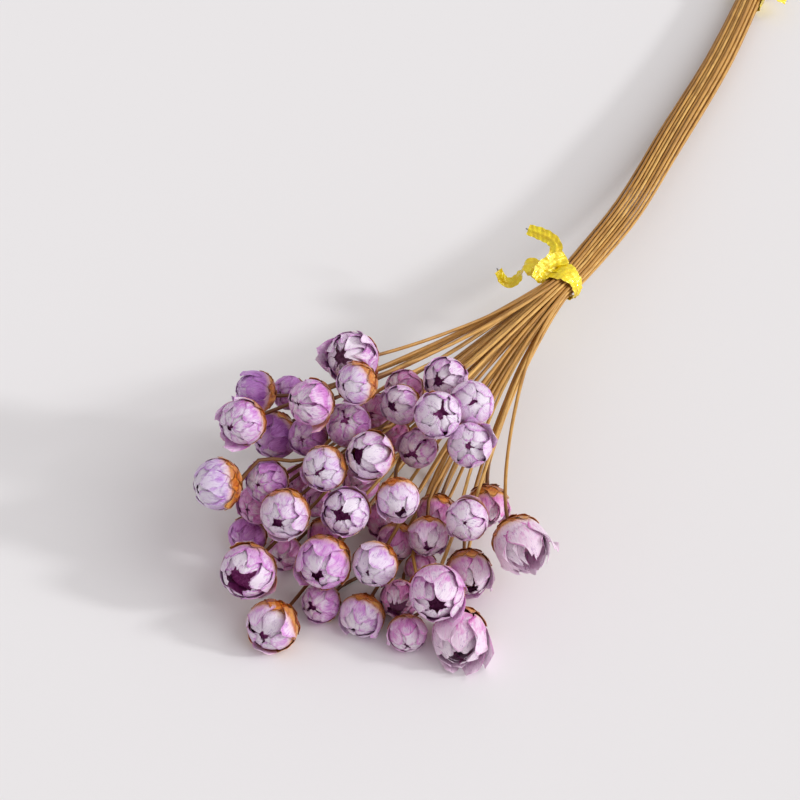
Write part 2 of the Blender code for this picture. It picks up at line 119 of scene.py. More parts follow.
# how each bud looks: pinkness (0 bluish, 1 pink), depth of colour (0 pale,
# 1 deep purple), how loose its outer bracts are, and how many degrees from
# its tip the amber begins
LOOKS = {
    1: (0.10, 0.14, 0.10, 101), 2: (0.45, 0.34, 0.50, 98), 3: (0.20, 0.76, 0.20, 105),
    4: (0.22, 0.88, 0.25, 105), 5: (0.60, 0.52, 0.35, 104), 6: (0.30, 0.85, 0.10, 105),
    7: (0.55, 0.26, 0.80, 110), 8: (0.35, 0.18, 0.15, 79), 9: (0.50, 0.55, 0.15, 105),
    10: (0.40, 0.70, 0.10, 105), 11: (0.50, 0.34, 0.15, 95), 12: (0.60, 0.45, 0.20, 105),
    13: (0.55, 0.65, 0.10, 105), 14: (0.55, 0.24, 0.70, 112), 15: (0.45, 0.20, 0.20, 112),
    16: (0.45, 0.14, 0.15, 115), 17: (0.50, 0.12, 0.55, 112), 18: (0.60, 0.40, 0.25, 112),
    19: (0.50, 0.12, 0.50, 92), 20: (0.30, 0.12, 0.15, 82), 21: (0.40, 0.60, 0.15, 105),
    22: (0.50, 0.70, 0.10, 95), 23: (0.42, 0.14, 0.35, 84), 24: (0.38, 0.12, 0.50, 105),
    25: (0.50, 0.65, 0.15, 105), 26: (0.60, 0.50, 0.15, 105), 27: (0.45, 0.10, 0.30, 92),
    28: (0.60, 0.42, 0.20, 102), 29: (0.70, 0.28, 0.55, 92), 30: (0.60, 0.18, 0.15, 108),
    # painted light and shade: bud 31 (depth -0.35) is set paler than its colour to lighten a face that falls in shade,
    # and buds 40 and 44 are set deeper as painted shade
    31: (0.95, -0.35, 0.65, 107), 32: (0.68, 0.30, 0.60, 95), 33: (0.60, 0.50, 0.15, 100),
    34: (0.78, 0.26, 0.45, 86), 35: (0.72, 0.32, 0.45, 106), 36: (0.75, 0.55, 0.60, 105),
    37: (0.90, -0.15, 0.75, 110), 38: (0.76, 0.34, 0.45, 105), 39: (0.32, 0.08, 0.40, 88),
    40: (0.48, 0.54, 0.55, 84), 41: (0.45, 0.22, 0.45, 95), 42: (0.55, 0.52, 0.25, 105),
    43: (0.52, 0.24, 0.45, 71), 44: (0.50, 0.36, 0.50, 101), 45: (0.40, 0.70, 0.15, 95),
    46: (0.55, 0.60, 0.15, 100), 47: (0.70, 0.95, 0.15, 100), 48: (0.70, 0.75, 0.20, 100),
    49: (0.60, 0.85, 0.15, 80), 50: (0.50, 0.80, 0.10, 100), 51: (0.80, 0.40, 0.40, 100),
}
# buds of their own shape: how far the upper half is drawn out, the radius of
# the mouth, how pointed and how flared the bracts round it are, how dark the
# hollow is, how many of the bracts reach all the way up, how wide and how
# many they are, how far the upper ones hang over the mouth, how much of the
# usual taper and tears their tips have, and how loosely their margins lie
SHAPES = {
    7: {"loft": 1.3, "mouth": 0.26, "point": 0.3, "flare": 0.18, "plum": 0.4, "tall": 0.3},
    14: {"mouth": 0.22, "flare": 0.10}, 19: {"mouth": 0.30, "tall": 0.2},
    30: {"mouth": 0.05, "fewer": 4, "wide": 1.15}, 28: {"loft": 1.15, "mouth": 0.20, "point": 0.5, "flare": 0.06, "plum": 0.8, "tall": 0.5},
    29: {"loft": 1.2, "mouth": 0.30, "point": 0.5, "plum": 0.6, "tall": 0.6},
    31: {"loft": 1.85, "mouth": 0.48, "point": 0.9, "flare": 0.12, "plum": 0.36, "tall": 0.9, "wide": 1.22,
         "fewer": 4, "hood": 0.26, "airy": 0.5},
    34: {"loft": 1.35, "mouth": 0.24, "point": 0.4, "plum": 0.6, "tall": 0.7, "wide": 1.2, "fewer": 4, "hood": 0.15,
         "airy": 0.4},
    35: {"loft": 1.2, "mouth": 0.28, "flare": 0.12, "plum": 0.8, "tall": 0.65, "wide": 1.12, "fewer": 3,
         "hood": 0.36, "keen": 1.0, "torn": 0.35, "airy": 0.85},
    36: {"loft": 1.3, "mouth": 0.40, "point": 0.4, "plum": 0.6, "tall": 0.4},
    37: {"loft": 1.45, "mouth": 0.27, "point": 0.35, "flare": 0.12, "plum": 0.34, "tall": 0.8, "wide": 1.12,
         "fewer": 3, "hood": 0.20, "keen": 0.9, "torn": 0.5, "airy": 0.7},
    40: {"hood": 0.18, "mouth": 0.23, "keen": 0.85, "torn": 0.6},
    27: {"hood": 0.26, "mouth": 0.29, "keen": 0.9, "torn": 0.6}, 43: {"hood": 0.10, "mouth": 0.14},
    44: {"loft": 1.12, "mouth": 0.46, "tall": 0.3, "keen": 0.95, "torn": 0.7},
    23: {"keen": 0.8}, 16: {"keen": 0.85}, 17: {"keen": 0.9}, 39: {"keen": 0.8},
}


def unit(v):
    return v / math.sqrt(float((v * v).sum()))


def dot(a, b):
    return float((a * b).sum())


def wobble(i, k):
    x = math.sin(i * 12.9898 + k * 78.233) * 43758.5453
    return 2.0 * (x - math.floor(x)) - 1.0


def viewpoint():
    a, e = VIEW_AZ, VIEW_EL
    right = np.array([math.cos(a), math.sin(a), 0.0])
    back = np.array([math.sin(a) * math.cos(e), -math.cos(a) * math.cos(e), math.sin(e)])
    up = np.array([-math.sin(a) * math.sin(e), math.cos(a) * math.sin(e), math.cos(e)])
    tie = np.array([0.0, 0.0, TIE_Z])
    eye = (tie + TIE_DIST * back - right * TIE_DIST * (TIE_SPOT[0] - 400.0) / FOCAL
           - up * TIE_DIST * (400.0 - TIE_SPOT[1]) / FOCAL)
    return right, up, back, eye, tie


def place_buds():
    right, up, back, eye, tie = viewpoint()
    pos, rad, rays, fixed = [], [], [], []
    for (u, v, r, tu, tv, facing, opened, layer) in FLOWERS:
        d = unit(right * (u - 400.0) / FOCAL + up * (400.0 - v) / FOCAL - back)
        if layer == 9:
            s = eye[2] / (0.84 * 0.96 * r / FOCAL - d[2])
        else:
            s = DEPTHS[layer] / -dot(d, back)
            s = min(s, eye[2] / (1.04 * 0.96 * r / FOCAL - d[2]))
        pos.append(eye + s * d)
        rad.append(0.96 * r * s / FOCAL)
        rays.append(d)
        fixed.append(layer == 9)
    pos, rad, rays = np.array(pos), np.array(rad), np.array(rays)
    free = np.where(np.array(fixed), 0.0, 1.0)[:, None]
    start = pos.copy()
    n = len(pos)
    share = free / np.maximum(free + free[:, 0][None, :], 1.0)
    for step in range(600):
        w = pos[:, None, :] - pos[None, :, :]
        dist = np.sqrt((w * w).sum(-1)) + np.eye(n) * 1e3
        over = np.maximum(rad[:, None] + rad[None, :] + 0.03 - dist, 0.0)
        push = (w / dist[..., None]) * (share * over)[..., None]
        move = push.sum(1)
        move[:, 2] += np.maximum(rad * 1.01 - pos[:, 2], 0.0)
        pos = pos + move * 0.8 * free
        if step < 570:
            off = pos - start
            along = (off * rays).sum(-1)[:, None] * rays
            pos = start + along * 0.999 + (off - along) * 0.93
    axes = []
    for i, (u, v, r, tu, tv, facing, opened, layer) in enumerate(FLOWERS):
        sx, sy = (tu - u) / r, (v - tv) / r
        s = math.hypot(sx, sy)
        if s > 0.95:
            sx, sy, s = sx * 0.95 / s, sy * 0.95 / s, 0.95
        b = -rays[i]
        rr = unit(right - b * dot(right, b))
        uu = np.cross(b, rr)
        axes.append(unit(rr * sx + uu * sy + b * facing * math.sqrt(1.0 - s * s)))
    return pos, rad, np.array(axes)


def spine(y):
    k = 0
    while k < len(SPINE) - 2 and y > SPINE[k + 1][0]:
        k += 1
    p0, p1 = SPINE[k], SPINE[k + 1]
    h = p1[0] - p0[0]
    t = (y - p0[0]) / h

    def slope(j, c):
        a, b = SPINE[max(j - 1, 0)], SPINE[min(j + 1, len(SPINE) - 1)]
        return (b[c] - a[c]) / (b[0] - a[0])
    out = []
    for c in (1, 2):
        m0, m1 = slope(k, c) * h, slope(k + 1, c) * h
        out.append((2 * t**3 - 3 * t**2 + 1) * p0[c] + (t**3 - 2 * t**2 + t) * m0
                   + (-2 * t**3 + 3 * t**2) * p1[c] + (t**3 - t**2) * m1)
    return np.array([out[0], y, out[1]])


def spine_frame(y):
    t = unit(spine(y + 0.5) - spine(y - 0.5))
    side = unit(np.cross(t, np.array([0.0, 0.0, 1.0])))
    return t, side, np.cross(side, t)


def bulge(y):
    t = min(max((y - SNUG) / (REAR_Y - 2.0 * SNUG), 0.0), 1.0)
    swell = max(math.sin(math.pi * t), 0.0) ** 0.8 * (1.0 + 0.25 * math.cos(math.pi * t))
    return 1.0 + (BULGE - 1.0) * swell


def slots(n):
    pts = []
    for a in range(-6, 7):
        for b in range(-6, 7):
            x, z = (a + 0.5 * b + 0.21) * PITCH, (b * math.sqrt(0.75) + 0.13) * PITCH
            pts.append((math.hypot(x, z), x, z))
    pts.sort()
    return np.array([(x, z) for (r, x, z) in pts[:n]])


def match(places, goals):
    n = len(places)
    order = list(range(n))
    first = sorted(range(n), key=lambda i: goals[i][0] * 3.0 + goals[i][1])
    second = sorted(range(n), key=lambda i: places[i][0] * 3.0 + places[i][1])
    for i, j in zip(first, second):
        order[i] = j
    changed = True
    while changed:
        changed = False
        for i in range(n):
            for j in range(i + 1, n):
                ds = places[order[i]] - places[order[j]]
                dg = goals[i] - goals[j]
                if dot(ds, dg) < -1e-9:
                    order[i], order[j] = order[j], order[i]
                    changed = True
    return order


def closest(p1, q1, p2, q2):
    d1, d2, r = q1 - p1, q2 - p2, p1 - p2
    a, e = (d1 * d1).sum(-1), (d2 * d2).sum(-1)
    f, c, b = (d2 * r).sum(-1), (d1 * r).sum(-1), (d1 * d2).sum(-1)
    den = a * e - b * b
    s = np.clip(np.where(den > 1e-9, (b * f - c * e) / np.maximum(den, 1e-9), 0.5), 0.0, 1.0)
    t = np.clip((b * s + f) / e, 0.0, 1.0)
    s = np.clip((b * t - c) / a, 0.0, 1.0)
    return s, t


def lay_stems(pos, rad, axes):
    tie = spine(STATIONS[-1])
    t0, side0, norm0 = spine_frame(STATIONS[-1])
    n = len(pos)
    base = pos - axes * (rad * 0.90)[:, None]
    goals = []
    for i in range(n):
        w = base[i] - axes[i] * 5.0 - tie
        ahead = -dot(w, t0)
        goals.append((dot(w, side0) / ahead, dot(w, norm0) / ahead))
    goals = np.array(goals)
    places = slots(n)
    order = match(places, goals)
    stems = []
    for i in range(n):
        sx, sz = places[order[i]]
        pts = []
        for y in [CUT_Y + CUT_JITTER * wobble(i, 1)] + STATIONS:
            t, side, norm = spine_frame(y)
            turn = math.radians(BUNDLE_TWIST) * y / REAR_Y
            c, s = math.cos(turn), math.sin(turn)
            m = bulge(y)
            pts.append(spine(y) + (side * (c * sx - s * sz) + norm * (s * sx + c * sz)) * m)
        start = pts[-1]
        reach = math.sqrt(((base[i] - start) ** 2).sum())
        neck = 7.0 + 2.0 * wobble(i, 2)
        aim = unit(base[i] - axes[i] * neck - start)
        go = unit(aim * 0.30 - t0 * 0.70)
        b0, b1, b2, b3 = start, start + go * reach * 0.36, base[i] - axes[i] * neck, base[i]
        for q in (0.28, 0.52, 0.73, 0.88, 1.0):
            r = 1.0 - q
            pts.append(b0 * r**3 + b1 * 3 * r * r * q + b2 * 3 * r * q * q + b3 * q**3)
        pts.append(pos[i] - axes[i] * rad[i] * 0.45)
        stems.append(pts)
    stems = np.array(stems)
    rows = stems.shape[1]
    first = len(STATIONS)
    seg = [(i, k) for i in range(n) for k in range(first, rows - 2)]
    si = np.array([a for a, b in seg])
    sk = np.array([b for a, b in seg])
    ia, ib = np.triu_indices(len(seg), 1)
    keep = si[ia] != si[ib]
    ia, ib = ia[keep], ib[keep]
    mid = 0.5 * (stems[si, sk] + stems[si, sk + 1])
    length = np.sqrt(((stems[si, sk] - stems[si, sk + 1]) ** 2).sum(-1))
    near = np.sqrt(((mid[ia] - mid[ib]) ** 2).sum(-1)) < 0.5 * (length[ia] + length[ib]) + 5.0
    ia, ib = ia[near], ib[near]
    hs, hh = np.meshgrid(np.arange(len(seg)), np.arange(n), indexing="ij")
    hs, hh = hs.ravel(), hh.ravel()
    keep = si[hs] != hh
    hs, hh = hs[keep], hh[keep]
    movable = np.zeros(rows)
    movable[first + 1:rows - 2] = 1.0
    movable[rows - 3] = 0.6
    rest = stems.copy()
    gap = STEM_D + 0.055
    for step in range(260):
        shift = np.zeros_like(stems)
        weight = np.zeros(stems.shape[:2])
        a, b = stems[si[ia], sk[ia]], stems[si[ia], sk[ia] + 1]
        c, d = stems[si[ib], sk[ib]], stems[si[ib], sk[ib] + 1]
        s, t = closest(a, b, c, d)
        w = (a + (b - a) * s[:, None]) - (c + (d - c) * t[:, None])
        dist = np.sqrt((w * w).sum(-1)) + 1e-9
        over = np.maximum(gap - dist, 0.0)
        hit = over > 0.0
        if hit.any():
            f = (w[hit] / dist[hit][:, None]) * (0.5 * over[hit])[:, None]
            for idx, sign, q in ((ia[hit], 1.0, s[hit]), (ib[hit], -1.0, t[hit])):
                np.add.at(shift, (si[idx], sk[idx]), sign * f * (1.0 - q)[:, None])
                np.add.at(shift, (si[idx], sk[idx] + 1), sign * f * q[:, None])
                np.add.at(weight, (si[idx], sk[idx]), 1.0 - q)
                np.add.at(weight, (si[idx], sk[idx] + 1), q)
        a, b = stems[si[hs], sk[hs]], stems[si[hs], sk[hs] + 1]
        ab = b - a
        q = np.clip(((pos[hh] - a) * ab).sum(-1) / (ab * ab).sum(-1), 0.0, 1.0)
        w = a + ab * q[:, None] - pos[hh]
        dist = np.sqrt((w * w).sum(-1)) + 1e-9
        over = np.maximum(rad[hh] + STEM_D * 0.5 + 0.15 - dist, 0.0)
        hit = over > 0.0
        if hit.any():
            f = (w[hit] / dist[hit][:, None]) * over[hit][:, None]
            idx = hs[hit]
            np.add.at(shift, (si[idx], sk[idx]), f * (1.0 - q[hit])[:, None])
            np.add.at(shift, (si[idx], sk[idx] + 1), f * q[hit][:, None])
            np.add.at(weight, (si[idx], sk[idx]), 1.0 - q[hit])
            np.add.at(weight, (si[idx], sk[idx] + 1), q[hit])
        stems = stems + shift * movable[None, :, None] / np.maximum(weight, 1.0)[..., None] * 1.3
        low = stems[:, first:rows - 2, 2]
        stems[:, first:rows - 2, 2] = np.maximum(low, STEM_D * 0.75)
        if step < 200:
            stems = stems + (rest - stems) * 0.01
    return stems


# -------------------------------------------------------------------- camera
SHIFT = np.array([-ORIGIN[0], -ORIGIN[1], 0.0])
right, up, back, eye, tie_point = viewpoint()
camera = bpy.data.objects.new("camera", bpy.data.cameras.new("camera"))
bpy.context.scene.collection.objects.link(camera)
camera.matrix_world = Matrix([[right[k], up[k], back[k], (eye[k] + SHIFT[k]) * MM] for k in range(3)]
                                + [[0.0, 0.0, 0.0, 1.0]])
camera.data.sensor_width = 36.0
camera.data.lens = 36.0 * FOCAL / 800.0
camera.data.clip_start = 0.01
camera.data.clip_end = 20.0
bpy.context.scene.camera = camera


# --------------------------------------------------------------------- nodes
class Look:
    """A node material under construction."""

    def __init__(self, name):
        self.mat = bpy.data.materials.new(name)
        self.mat.use_nodes = True
        self.tree = self.mat.node_tree
        self.bsdf = self.tree.nodes["Principled BSDF"]

    def put(self, socket, value):
        if isinstance(value, bpy.types.NodeSocket):
            self.tree.links.new(value, socket)
        elif isinstance(value, (tuple, list)) and len(value) == 3 and socket.type == "RGBA":
            socket.default_value = (*value, 1.0)
        else:
            socket.default_value = value

    def set(self, name, value):
        self.put(self.bsdf.inputs[name], value)

    def attr(self, name, out="Fac"):
        n = self.tree.nodes.new("ShaderNodeAttribute")
        n.attribute_name = name
        return n.outputs[out]

    def math(self, op, a, b=0.0, c=0.0, clamp=False):
        n = self.tree.nodes.new("ShaderNodeMath")
        n.operation = op
        n.use_clamp = clamp
        for k, v in enumerate((a, b, c)):
            self.put(n.inputs[k], v)
        return n.outputs[0]

    def mix(self, fac, a, b, blend="MIX"):
        n = self.tree.nodes.new("ShaderNodeMix")
        n.data_type = "RGBA"
        n.blend_type = blend
        n.clamp_factor = True
        self.put(n.inputs[0], fac)
        self.put(n.inputs[6], a)
        self.put(n.inputs[7], b)
        return n.outputs[2]

    def ramp(self, x, lo, hi, a=0.0, b=1.0, smooth=True):
        n = self.tree.nodes.new("ShaderNodeMapRange")
        n.interpolation_type = "SMOOTHSTEP" if smooth else "LINEAR"
        n.clamp = True
        for k, v in enumerate((x, lo, hi, a, b)):
            self.put(n.inputs[k], v)
        return n.outputs[0]

    def stretch(self, vec, scale):
        n = self.tree.nodes.new("ShaderNodeVectorMath")
        n.operation = "MULTIPLY"
        self.put(n.inputs[0], vec)
        n.inputs[1].default_value = scale
        return n.outputs[0]

    def noise(self, vec, scale, detail=3.0, rough=0.5, warp=0.0):
        n = self.tree.nodes.new("ShaderNodeTexNoise")
        self.put(n.inputs["Vector"], vec)
        n.inputs["Scale"].default_value = scale
        n.inputs["Detail"].default_value = detail
        n.inputs["Roughness"].default_value = rough
        n.inputs["Distortion"].default_value = warp
        return n.outputs[0]

    def bump(self, height, strength, distance):
        n = self.tree.nodes.new("ShaderNodeBump")
        n.inputs["Strength"].default_value = strength
        n.inputs["Distance"].default_value = distance
        self.put(n.inputs["Height"], height)
        self.set("Normal", n.outputs[0])


def bract_look():
    """Papery bracts: pale lilac, purple towards edges, with painted shade on the
    lower part of each where the bracts above cover it; fine dark veins; deep plum inside; pale straw where they meet
    the amber base."""
    m = Look("papery_bracts")
    tt, edge = m.attr("tt"), m.attr("edge")
    pole, inner, seed = m.attr("pole"), m.attr("inner"), m.attr("seed")
    blush, depth = m.attr("blush"), m.attr("depth")
    place = m.attr("place", "Vector")
    fresh = m.attr("fresh")
    pale = m.mix(blush, (0.84, 0.71, 0.94), (0.92, 0.69, 0.85))
    pale = m.mix(m.math("MULTIPLY", fresh, 0.50), pale, (0.94, 0.88, 0.94))
    mid = m.mix(blush, (0.52, 0.22, 0.73), (0.80, 0.25, 0.59))
    deep = m.mix(blush, (0.27, 0.070, 0.40), (0.46, 0.065, 0.27))
    # soft blotches along the bract
    blot = m.noise(m.stretch(place, (1.0, 0.55, 1.0)), 1.1, 3.0, 0.55, 0.4)
    fine = m.noise(m.stretch(place, (5.0, 0.50, 1.0)), 1.6, 4.0, 0.6)
    rim = m.math("MULTIPLY", m.ramp(edge, 0.04, 0.62, 1.0, 0.0), m.ramp(tt, 0.75, 1.0, 1.0, 0.45))
    # painted shade: the lower part of each bract, where the bracts above cover it, turns a deeper purple
    under = m.ramp(tt, 0.35, 0.96, 1.0, 0.0)
    calm = m.ramp(depth, 0.3, 0.9, 1.0, 0.78)
    f = m.ramp(blot, 0.38, 0.70, -0.06, 0.38)
    f = m.math("ADD", f, m.math("MULTIPLY", rim, m.ramp(seed, 0.0, 1.0, 0.42, 1.05, False)))
    f = m.math("ADD", f, m.ramp(fine, 0.46, 0.74, -0.06, 0.34))
    f = m.math("MULTIPLY", f, calm)
    f = m.math("ADD", f, m.math("MULTIPLY", under, 0.42))
    f = m.math("ADD", f, m.math("SUBTRACT", m.math("MULTIPLY", depth, 0.80), 0.09))
    f = m.math("SUBTRACT", f, m.math("MULTIPLY", fresh, 0.32))
    f = m.math("ADD", f, m.ramp(seed, 0.0, 1.0, -0.22, 0.06, False))
    col = m.mix(m.ramp(f, -0.04, 0.74), pale, mid)
    col = m.mix(m.ramp(f, 0.62, 1.30), col, deep)
    # fine dark veins that run up the bract and wander
    line = m.noise(m.stretch(place, (2.6, 0.30, 1.0)), 1.5, 2.0, 0.5, 0.5)
    line = m.math("ABSOLUTE", m.math("SUBTRACT", line, 0.5))
    line = m.ramp(line, 0.004, 0.024, 1.0, 0.0)
    where = m.ramp(m.noise(m.stretch(place, (1.0, 1.0, 2.3)), 0.9, 1.0), 0.42, 0.58)
    line = m.math("MULTIPLY", line, where)
    col = m.mix(m.math("MULTIPLY", line, 0.62), col, (0.25, 0.06, 0.38))
    # a thin dark line just inside the margin, and on it a pale line: the bleached edge with a painted rim highlight
    hem = m.math("MULTIPLY", m.ramp(edge, 0.04, 0.09), m.ramp(edge, 0.10, 0.24, 1.0, 0.0))
    hem = m.math("MULTIPLY", hem, m.ramp(m.noise(place, 1.3, 2.0), 0.40, 0.58))
    col = m.mix(m.math("MULTIPLY", hem, 0.50), col, m.mix(blush, (0.36, 0.09, 0.52), (0.56, 0.09, 0.40)))
    # painted light: the pale margin line is partly a painted rim highlight, and the salmon it turns near the bud's
    # base is a painted glow of light shining through the thin bract
    lip = m.math("MULTIPLY", m.ramp(edge, 0.0, 0.09, 1.0, 0.0), m.ramp(tt, 0.35, 0.7))
    low = m.ramp(m.math("SUBTRACT", pole, m.attr("climb")), 0.06, 0.20, 1.0, 0.0)
    col = m.mix(m.math("MULTIPLY", lip, m.ramp(low, 0.0, 1.0, 0.45, 0.75)), col,
                m.mix(low, (0.88, 0.74, 0.82), (0.83, 0.46, 0.36)))
    # straw, then amber, where the bract nears the base of the bud
    drift = m.math("ADD", pole, m.ramp(blot, 0.3, 0.7, -0.015, 0.015))
    drift = m.math("SUBTRACT", drift, m.attr("climb"))
    col = m.mix(m.ramp(drift, -0.02, 0.070, 0.55, 0.0), col, (0.88, 0.58, 0.44))
    amber = m.mix(m.ramp(blot, 0.35, 0.65), (0.48, 0.115, 0.008), (0.74, 0.32, 0.045))
    col = m.mix(m.ramp(drift, -0.060, -0.005, 0.93, 0.0), col, amber)
    # inside: plum, lighter and pinker towards the tips
    hollow = m.mix(m.ramp(tt, 0.50, 1.02), (0.60, 0.10, 0.46), (0.86, 0.52, 0.78))
    hollow = m.mix(m.ramp(fine, 0.35, 0.75, 0.0, 0.5), hollow, (0.50, 0.11, 0.42))
    col = m.mix(inner, col, hollow)
    m.set("Base Color", col)
    m.set("Roughness", m.ramp(fine, 0.3, 0.8, 0.42, 0.62))
    m.set("Specular IOR Level", 0.42)
    m.set("Sheen Weight", 0.18)
    m.set("Sheen Roughness", 0.4)
    m.set("Subsurface Weight", 0.35)
    m.set("Subsurface Radius", (1.0, 1.0, 1.0))
    m.set("Subsurface Scale", 0.00030)
    ribs = m.noise(m.stretch(place, (7.0, 0.7, 1.0)), 1.4, 3.0, 0.6)
    crease = m.noise(m.stretch(place, (1.6, 1.0, 1.0)), 1.2, 4.0, 0.6, 0.6)
    m.bump(m.math("ADD", m.math("MULTIPLY", ribs, 0.7), crease), 0.60, 0.00018)
    return m.mat


def calyx_look():
    """Base scales: glossy amber, red-brown at the margins and near the stem,
    straw and pink where they reach the bracts."""
    m = Look("amber_scales")
    tt, edge, pole, seed = m.attr("tt"), m.attr("edge"), m.attr("pole"), m.attr("seed")
    place = m.attr("place", "Vector")
    blot = m.noise(m.stretch(place, (1.0, 0.6, 1.0)), 1.4, 4.0, 0.6, 0.5)
    fine = m.noise(m.stretch(place, (6.0, 0.8, 1.0)), 1.6, 4.0, 0.6)
    col = m.mix(m.ramp(blot, 0.35, 0.68), (0.38, 0.066, 0.003), (0.72, 0.225, 0.016))
    col = m.mix(m.ramp(seed, 0.30, 1.0, 0.0, 0.55), col, (0.32, 0.064, 0.008))
    near = m.math("SUBTRACT", pole, m.attr("climb"))
    tip = m.math("MULTIPLY", m.ramp(near, -0.16, 0.02), m.ramp(tt, 0.45, 0.95))
    col = m.mix(m.math("MULTIPLY", tip, m.ramp(seed, 0.2, 0.9, 0.25, 0.85)), col, (0.92, 0.47, 0.09))
    low = m.ramp(m.math("ADD", pole, m.ramp(blot, 0.3, 0.7, -0.05, 0.05)), 0.04, 0.34, 1.0, 0.0)
    col = m.mix(m.math("MULTIPLY", low, 0.80), col, (0.13, 0.024, 0.005))
    # painted shade: each scale turns dark red-brown towards its foot, where the scales around lie over it
    under = m.ramp(tt, 0.10, 0.55, 1.0, 0.0)
    col = m.mix(m.math("MULTIPLY", under, 0.75), col, (0.15, 0.027, 0.006))
    hem = m.math("MULTIPLY", m.ramp(edge, 0.04, 0.10), m.ramp(edge, 0.14, 0.46, 1.0, 0.0))
    col = m.mix(m.math("MULTIPLY", hem, 0.85), col, (0.17, 0.026, 0.006))
    lip = m.math("MULTIPLY", m.ramp(edge, 0.0, 0.08, 1.0, 0.0), m.ramp(near, -0.16, -0.04))
    col = m.mix(m.math("MULTIPLY", lip, m.ramp(seed, 0.3, 0.7, 0.15, 0.7)), col, (0.86, 0.52, 0.40))
    col = m.mix(m.ramp(fine, 0.55, 0.8, 0.0, 0.35), col, (0.20, 0.045, 0.008))
    m.set("Base Color", col)
    m.set("Roughness", m.ramp(blot, 0.3, 0.8, 0.26, 0.44))
    m.set("Specular IOR Level", 0.5)
    m.set("Coat Weight", 0.45)
    m.set("Coat Roughness", 0.20)
    m.set("Subsurface Weight", 0.10)
    m.set("Subsurface Radius", (1.0, 0.4, 0.1))
    m.set("Subsurface Scale", 0.0003)
    m.bump(m.math("ADD", fine, m.math("MULTIPLY", blot, 0.7)), 0.4, 0.00012)
    return m.mat


def heart_look():
    """The dark plum floret heads at the bottom of an open bud."""
    m = Look("plum_heart")
    place = m.attr("place", "Vector")
    n = m.noise(place, 2.4, 4.0, 0.6)
    col = m.mix(m.ramp(n, 0.35, 0.7), (0.32, 0.030, 0.22), (0.58, 0.13, 0.45))
    col = m.mix(m.ramp(m.attr("inner"), 0.1, 0.9, 0.9, 0.0, False), col, (0.80, 0.45, 0.60))
    m.set("Base Color", col)
    m.set("Roughness", 0.7)
    m.bump(n, 0.6, 0.0003)
    return m.mat


def stem_look():
    """Wiry dry stems: golden tan with darker streaks and speckles, painted
    shade near the neck of each bud, paler at the cut ends."""
    m = Look("straw_stems")
    place = m.attr("place", "Vector")
    run, seed = m.attr("run"), m.attr("seed")
    streak = m.noise(m.stretch(place, (5.0, 0.22, 1.0)), 1.6, 4.0, 0.6)
    patch = m.noise(m.stretch(place, (1.0, 0.10, 1.0)), 1.1, 3.0, 0.55)
    speck = m.noise(m.stretch(place, (3.0, 2.0, 1.0)), 2.6, 3.0, 0.65)
    col = m.mix(m.ramp(seed, 0.0, 1.0, 0.0, 1.0, False), (0.46, 0.205, 0.032), (0.76, 0.45, 0.130))
    col = m.mix(m.ramp(streak, 0.42, 0.70, 0.0, 0.75), col, (0.26, 0.115, 0.025))
    col = m.mix(m.ramp(patch, 0.50, 0.70, 0.0, 0.55), col, (0.33, 0.14, 0.028))
    col = m.mix(m.ramp(speck, 0.62, 0.74, 0.0, 0.5), col, (0.13, 0.045, 0.012))
    # painted shade: the stem turns dark brown near each bud, where it runs in among the heads
    neck = m.ramp(m.attr("neck"), 0.3, 9.0, 1.0, 0.0)
    col = m.mix(m.math("MULTIPLY", neck, m.attr("dark")), col, (0.115, 0.034, 0.009))
    end = m.ramp(run, 186.0, 200.0, 0.0, 0.15)
    col = m.mix(end, col, (0.62, 0.46, 0.24))
    m.set("Base Color", col)
    m.set("Roughness", m.ramp(streak, 0.3, 0.8, 0.36, 0.55))
    m.set("Specular IOR Level", 0.45)
    m.bump(m.math("ADD", streak, m.math("MULTIPLY", speck, 0.4)), 0.5, 0.00010)
    return m.mat


def foil_look():
    """Glossy yellow foil of the twist ties, finely crinkled."""
    m = Look("yellow_foil")
    place = m.attr("place", "Vector")
    n = m.noise(m.stretch(place, (1.0, 0.6, 1.0)), 1.3, 5.0, 0.6, 0.5)
    fine = m.noise(place, 5.0, 4.0, 0.6)
    col = m.mix(m.ramp(n, 0.35, 0.68), (0.90, 0.63, 0.002), (0.98, 0.82, 0.006))
    rub = m.ramp(m.attr("edge"), 0.0, 0.10, 0.5, 0.0)
    col = m.mix(rub, col, (0.95, 0.82, 0.16))
    m.set("Base Color", col)
    m.set("Metallic", 0.15)
    m.set("Roughness", m.ramp(fine, 0.3, 0.8, 0.14, 0.34))
    m.set("Specular IOR Level", 0.6)
    m.set("Coat Weight", 0.6)
    m.set("Coat Roughness", 0.10)
    m.bump(m.math("ADD", n, m.math("MULTIPLY", fine, 0.35)), 0.7, 0.00025)
    return m.mat


def wire_look():
    m = Look("tie_wire")
    place = m.attr("place", "Vector")
    n = m.noise(place, 4.0, 3.0, 0.5)
    m.set("Base Color", m.mix(n, (0.20, 0.19, 0.18), (0.42, 0.40, 0.38)))
    m.set("Metallic", 1.0)
    m.set("Roughness", m.ramp(n, 0.3, 0.7, 0.3, 0.5))
    return m.mat


BRACTS, CALYX, HEART, STEMS, FOIL, WIRE = (bract_look(), calyx_look(), heart_look(), stem_look(),
                                           foil_look(), wire_look())


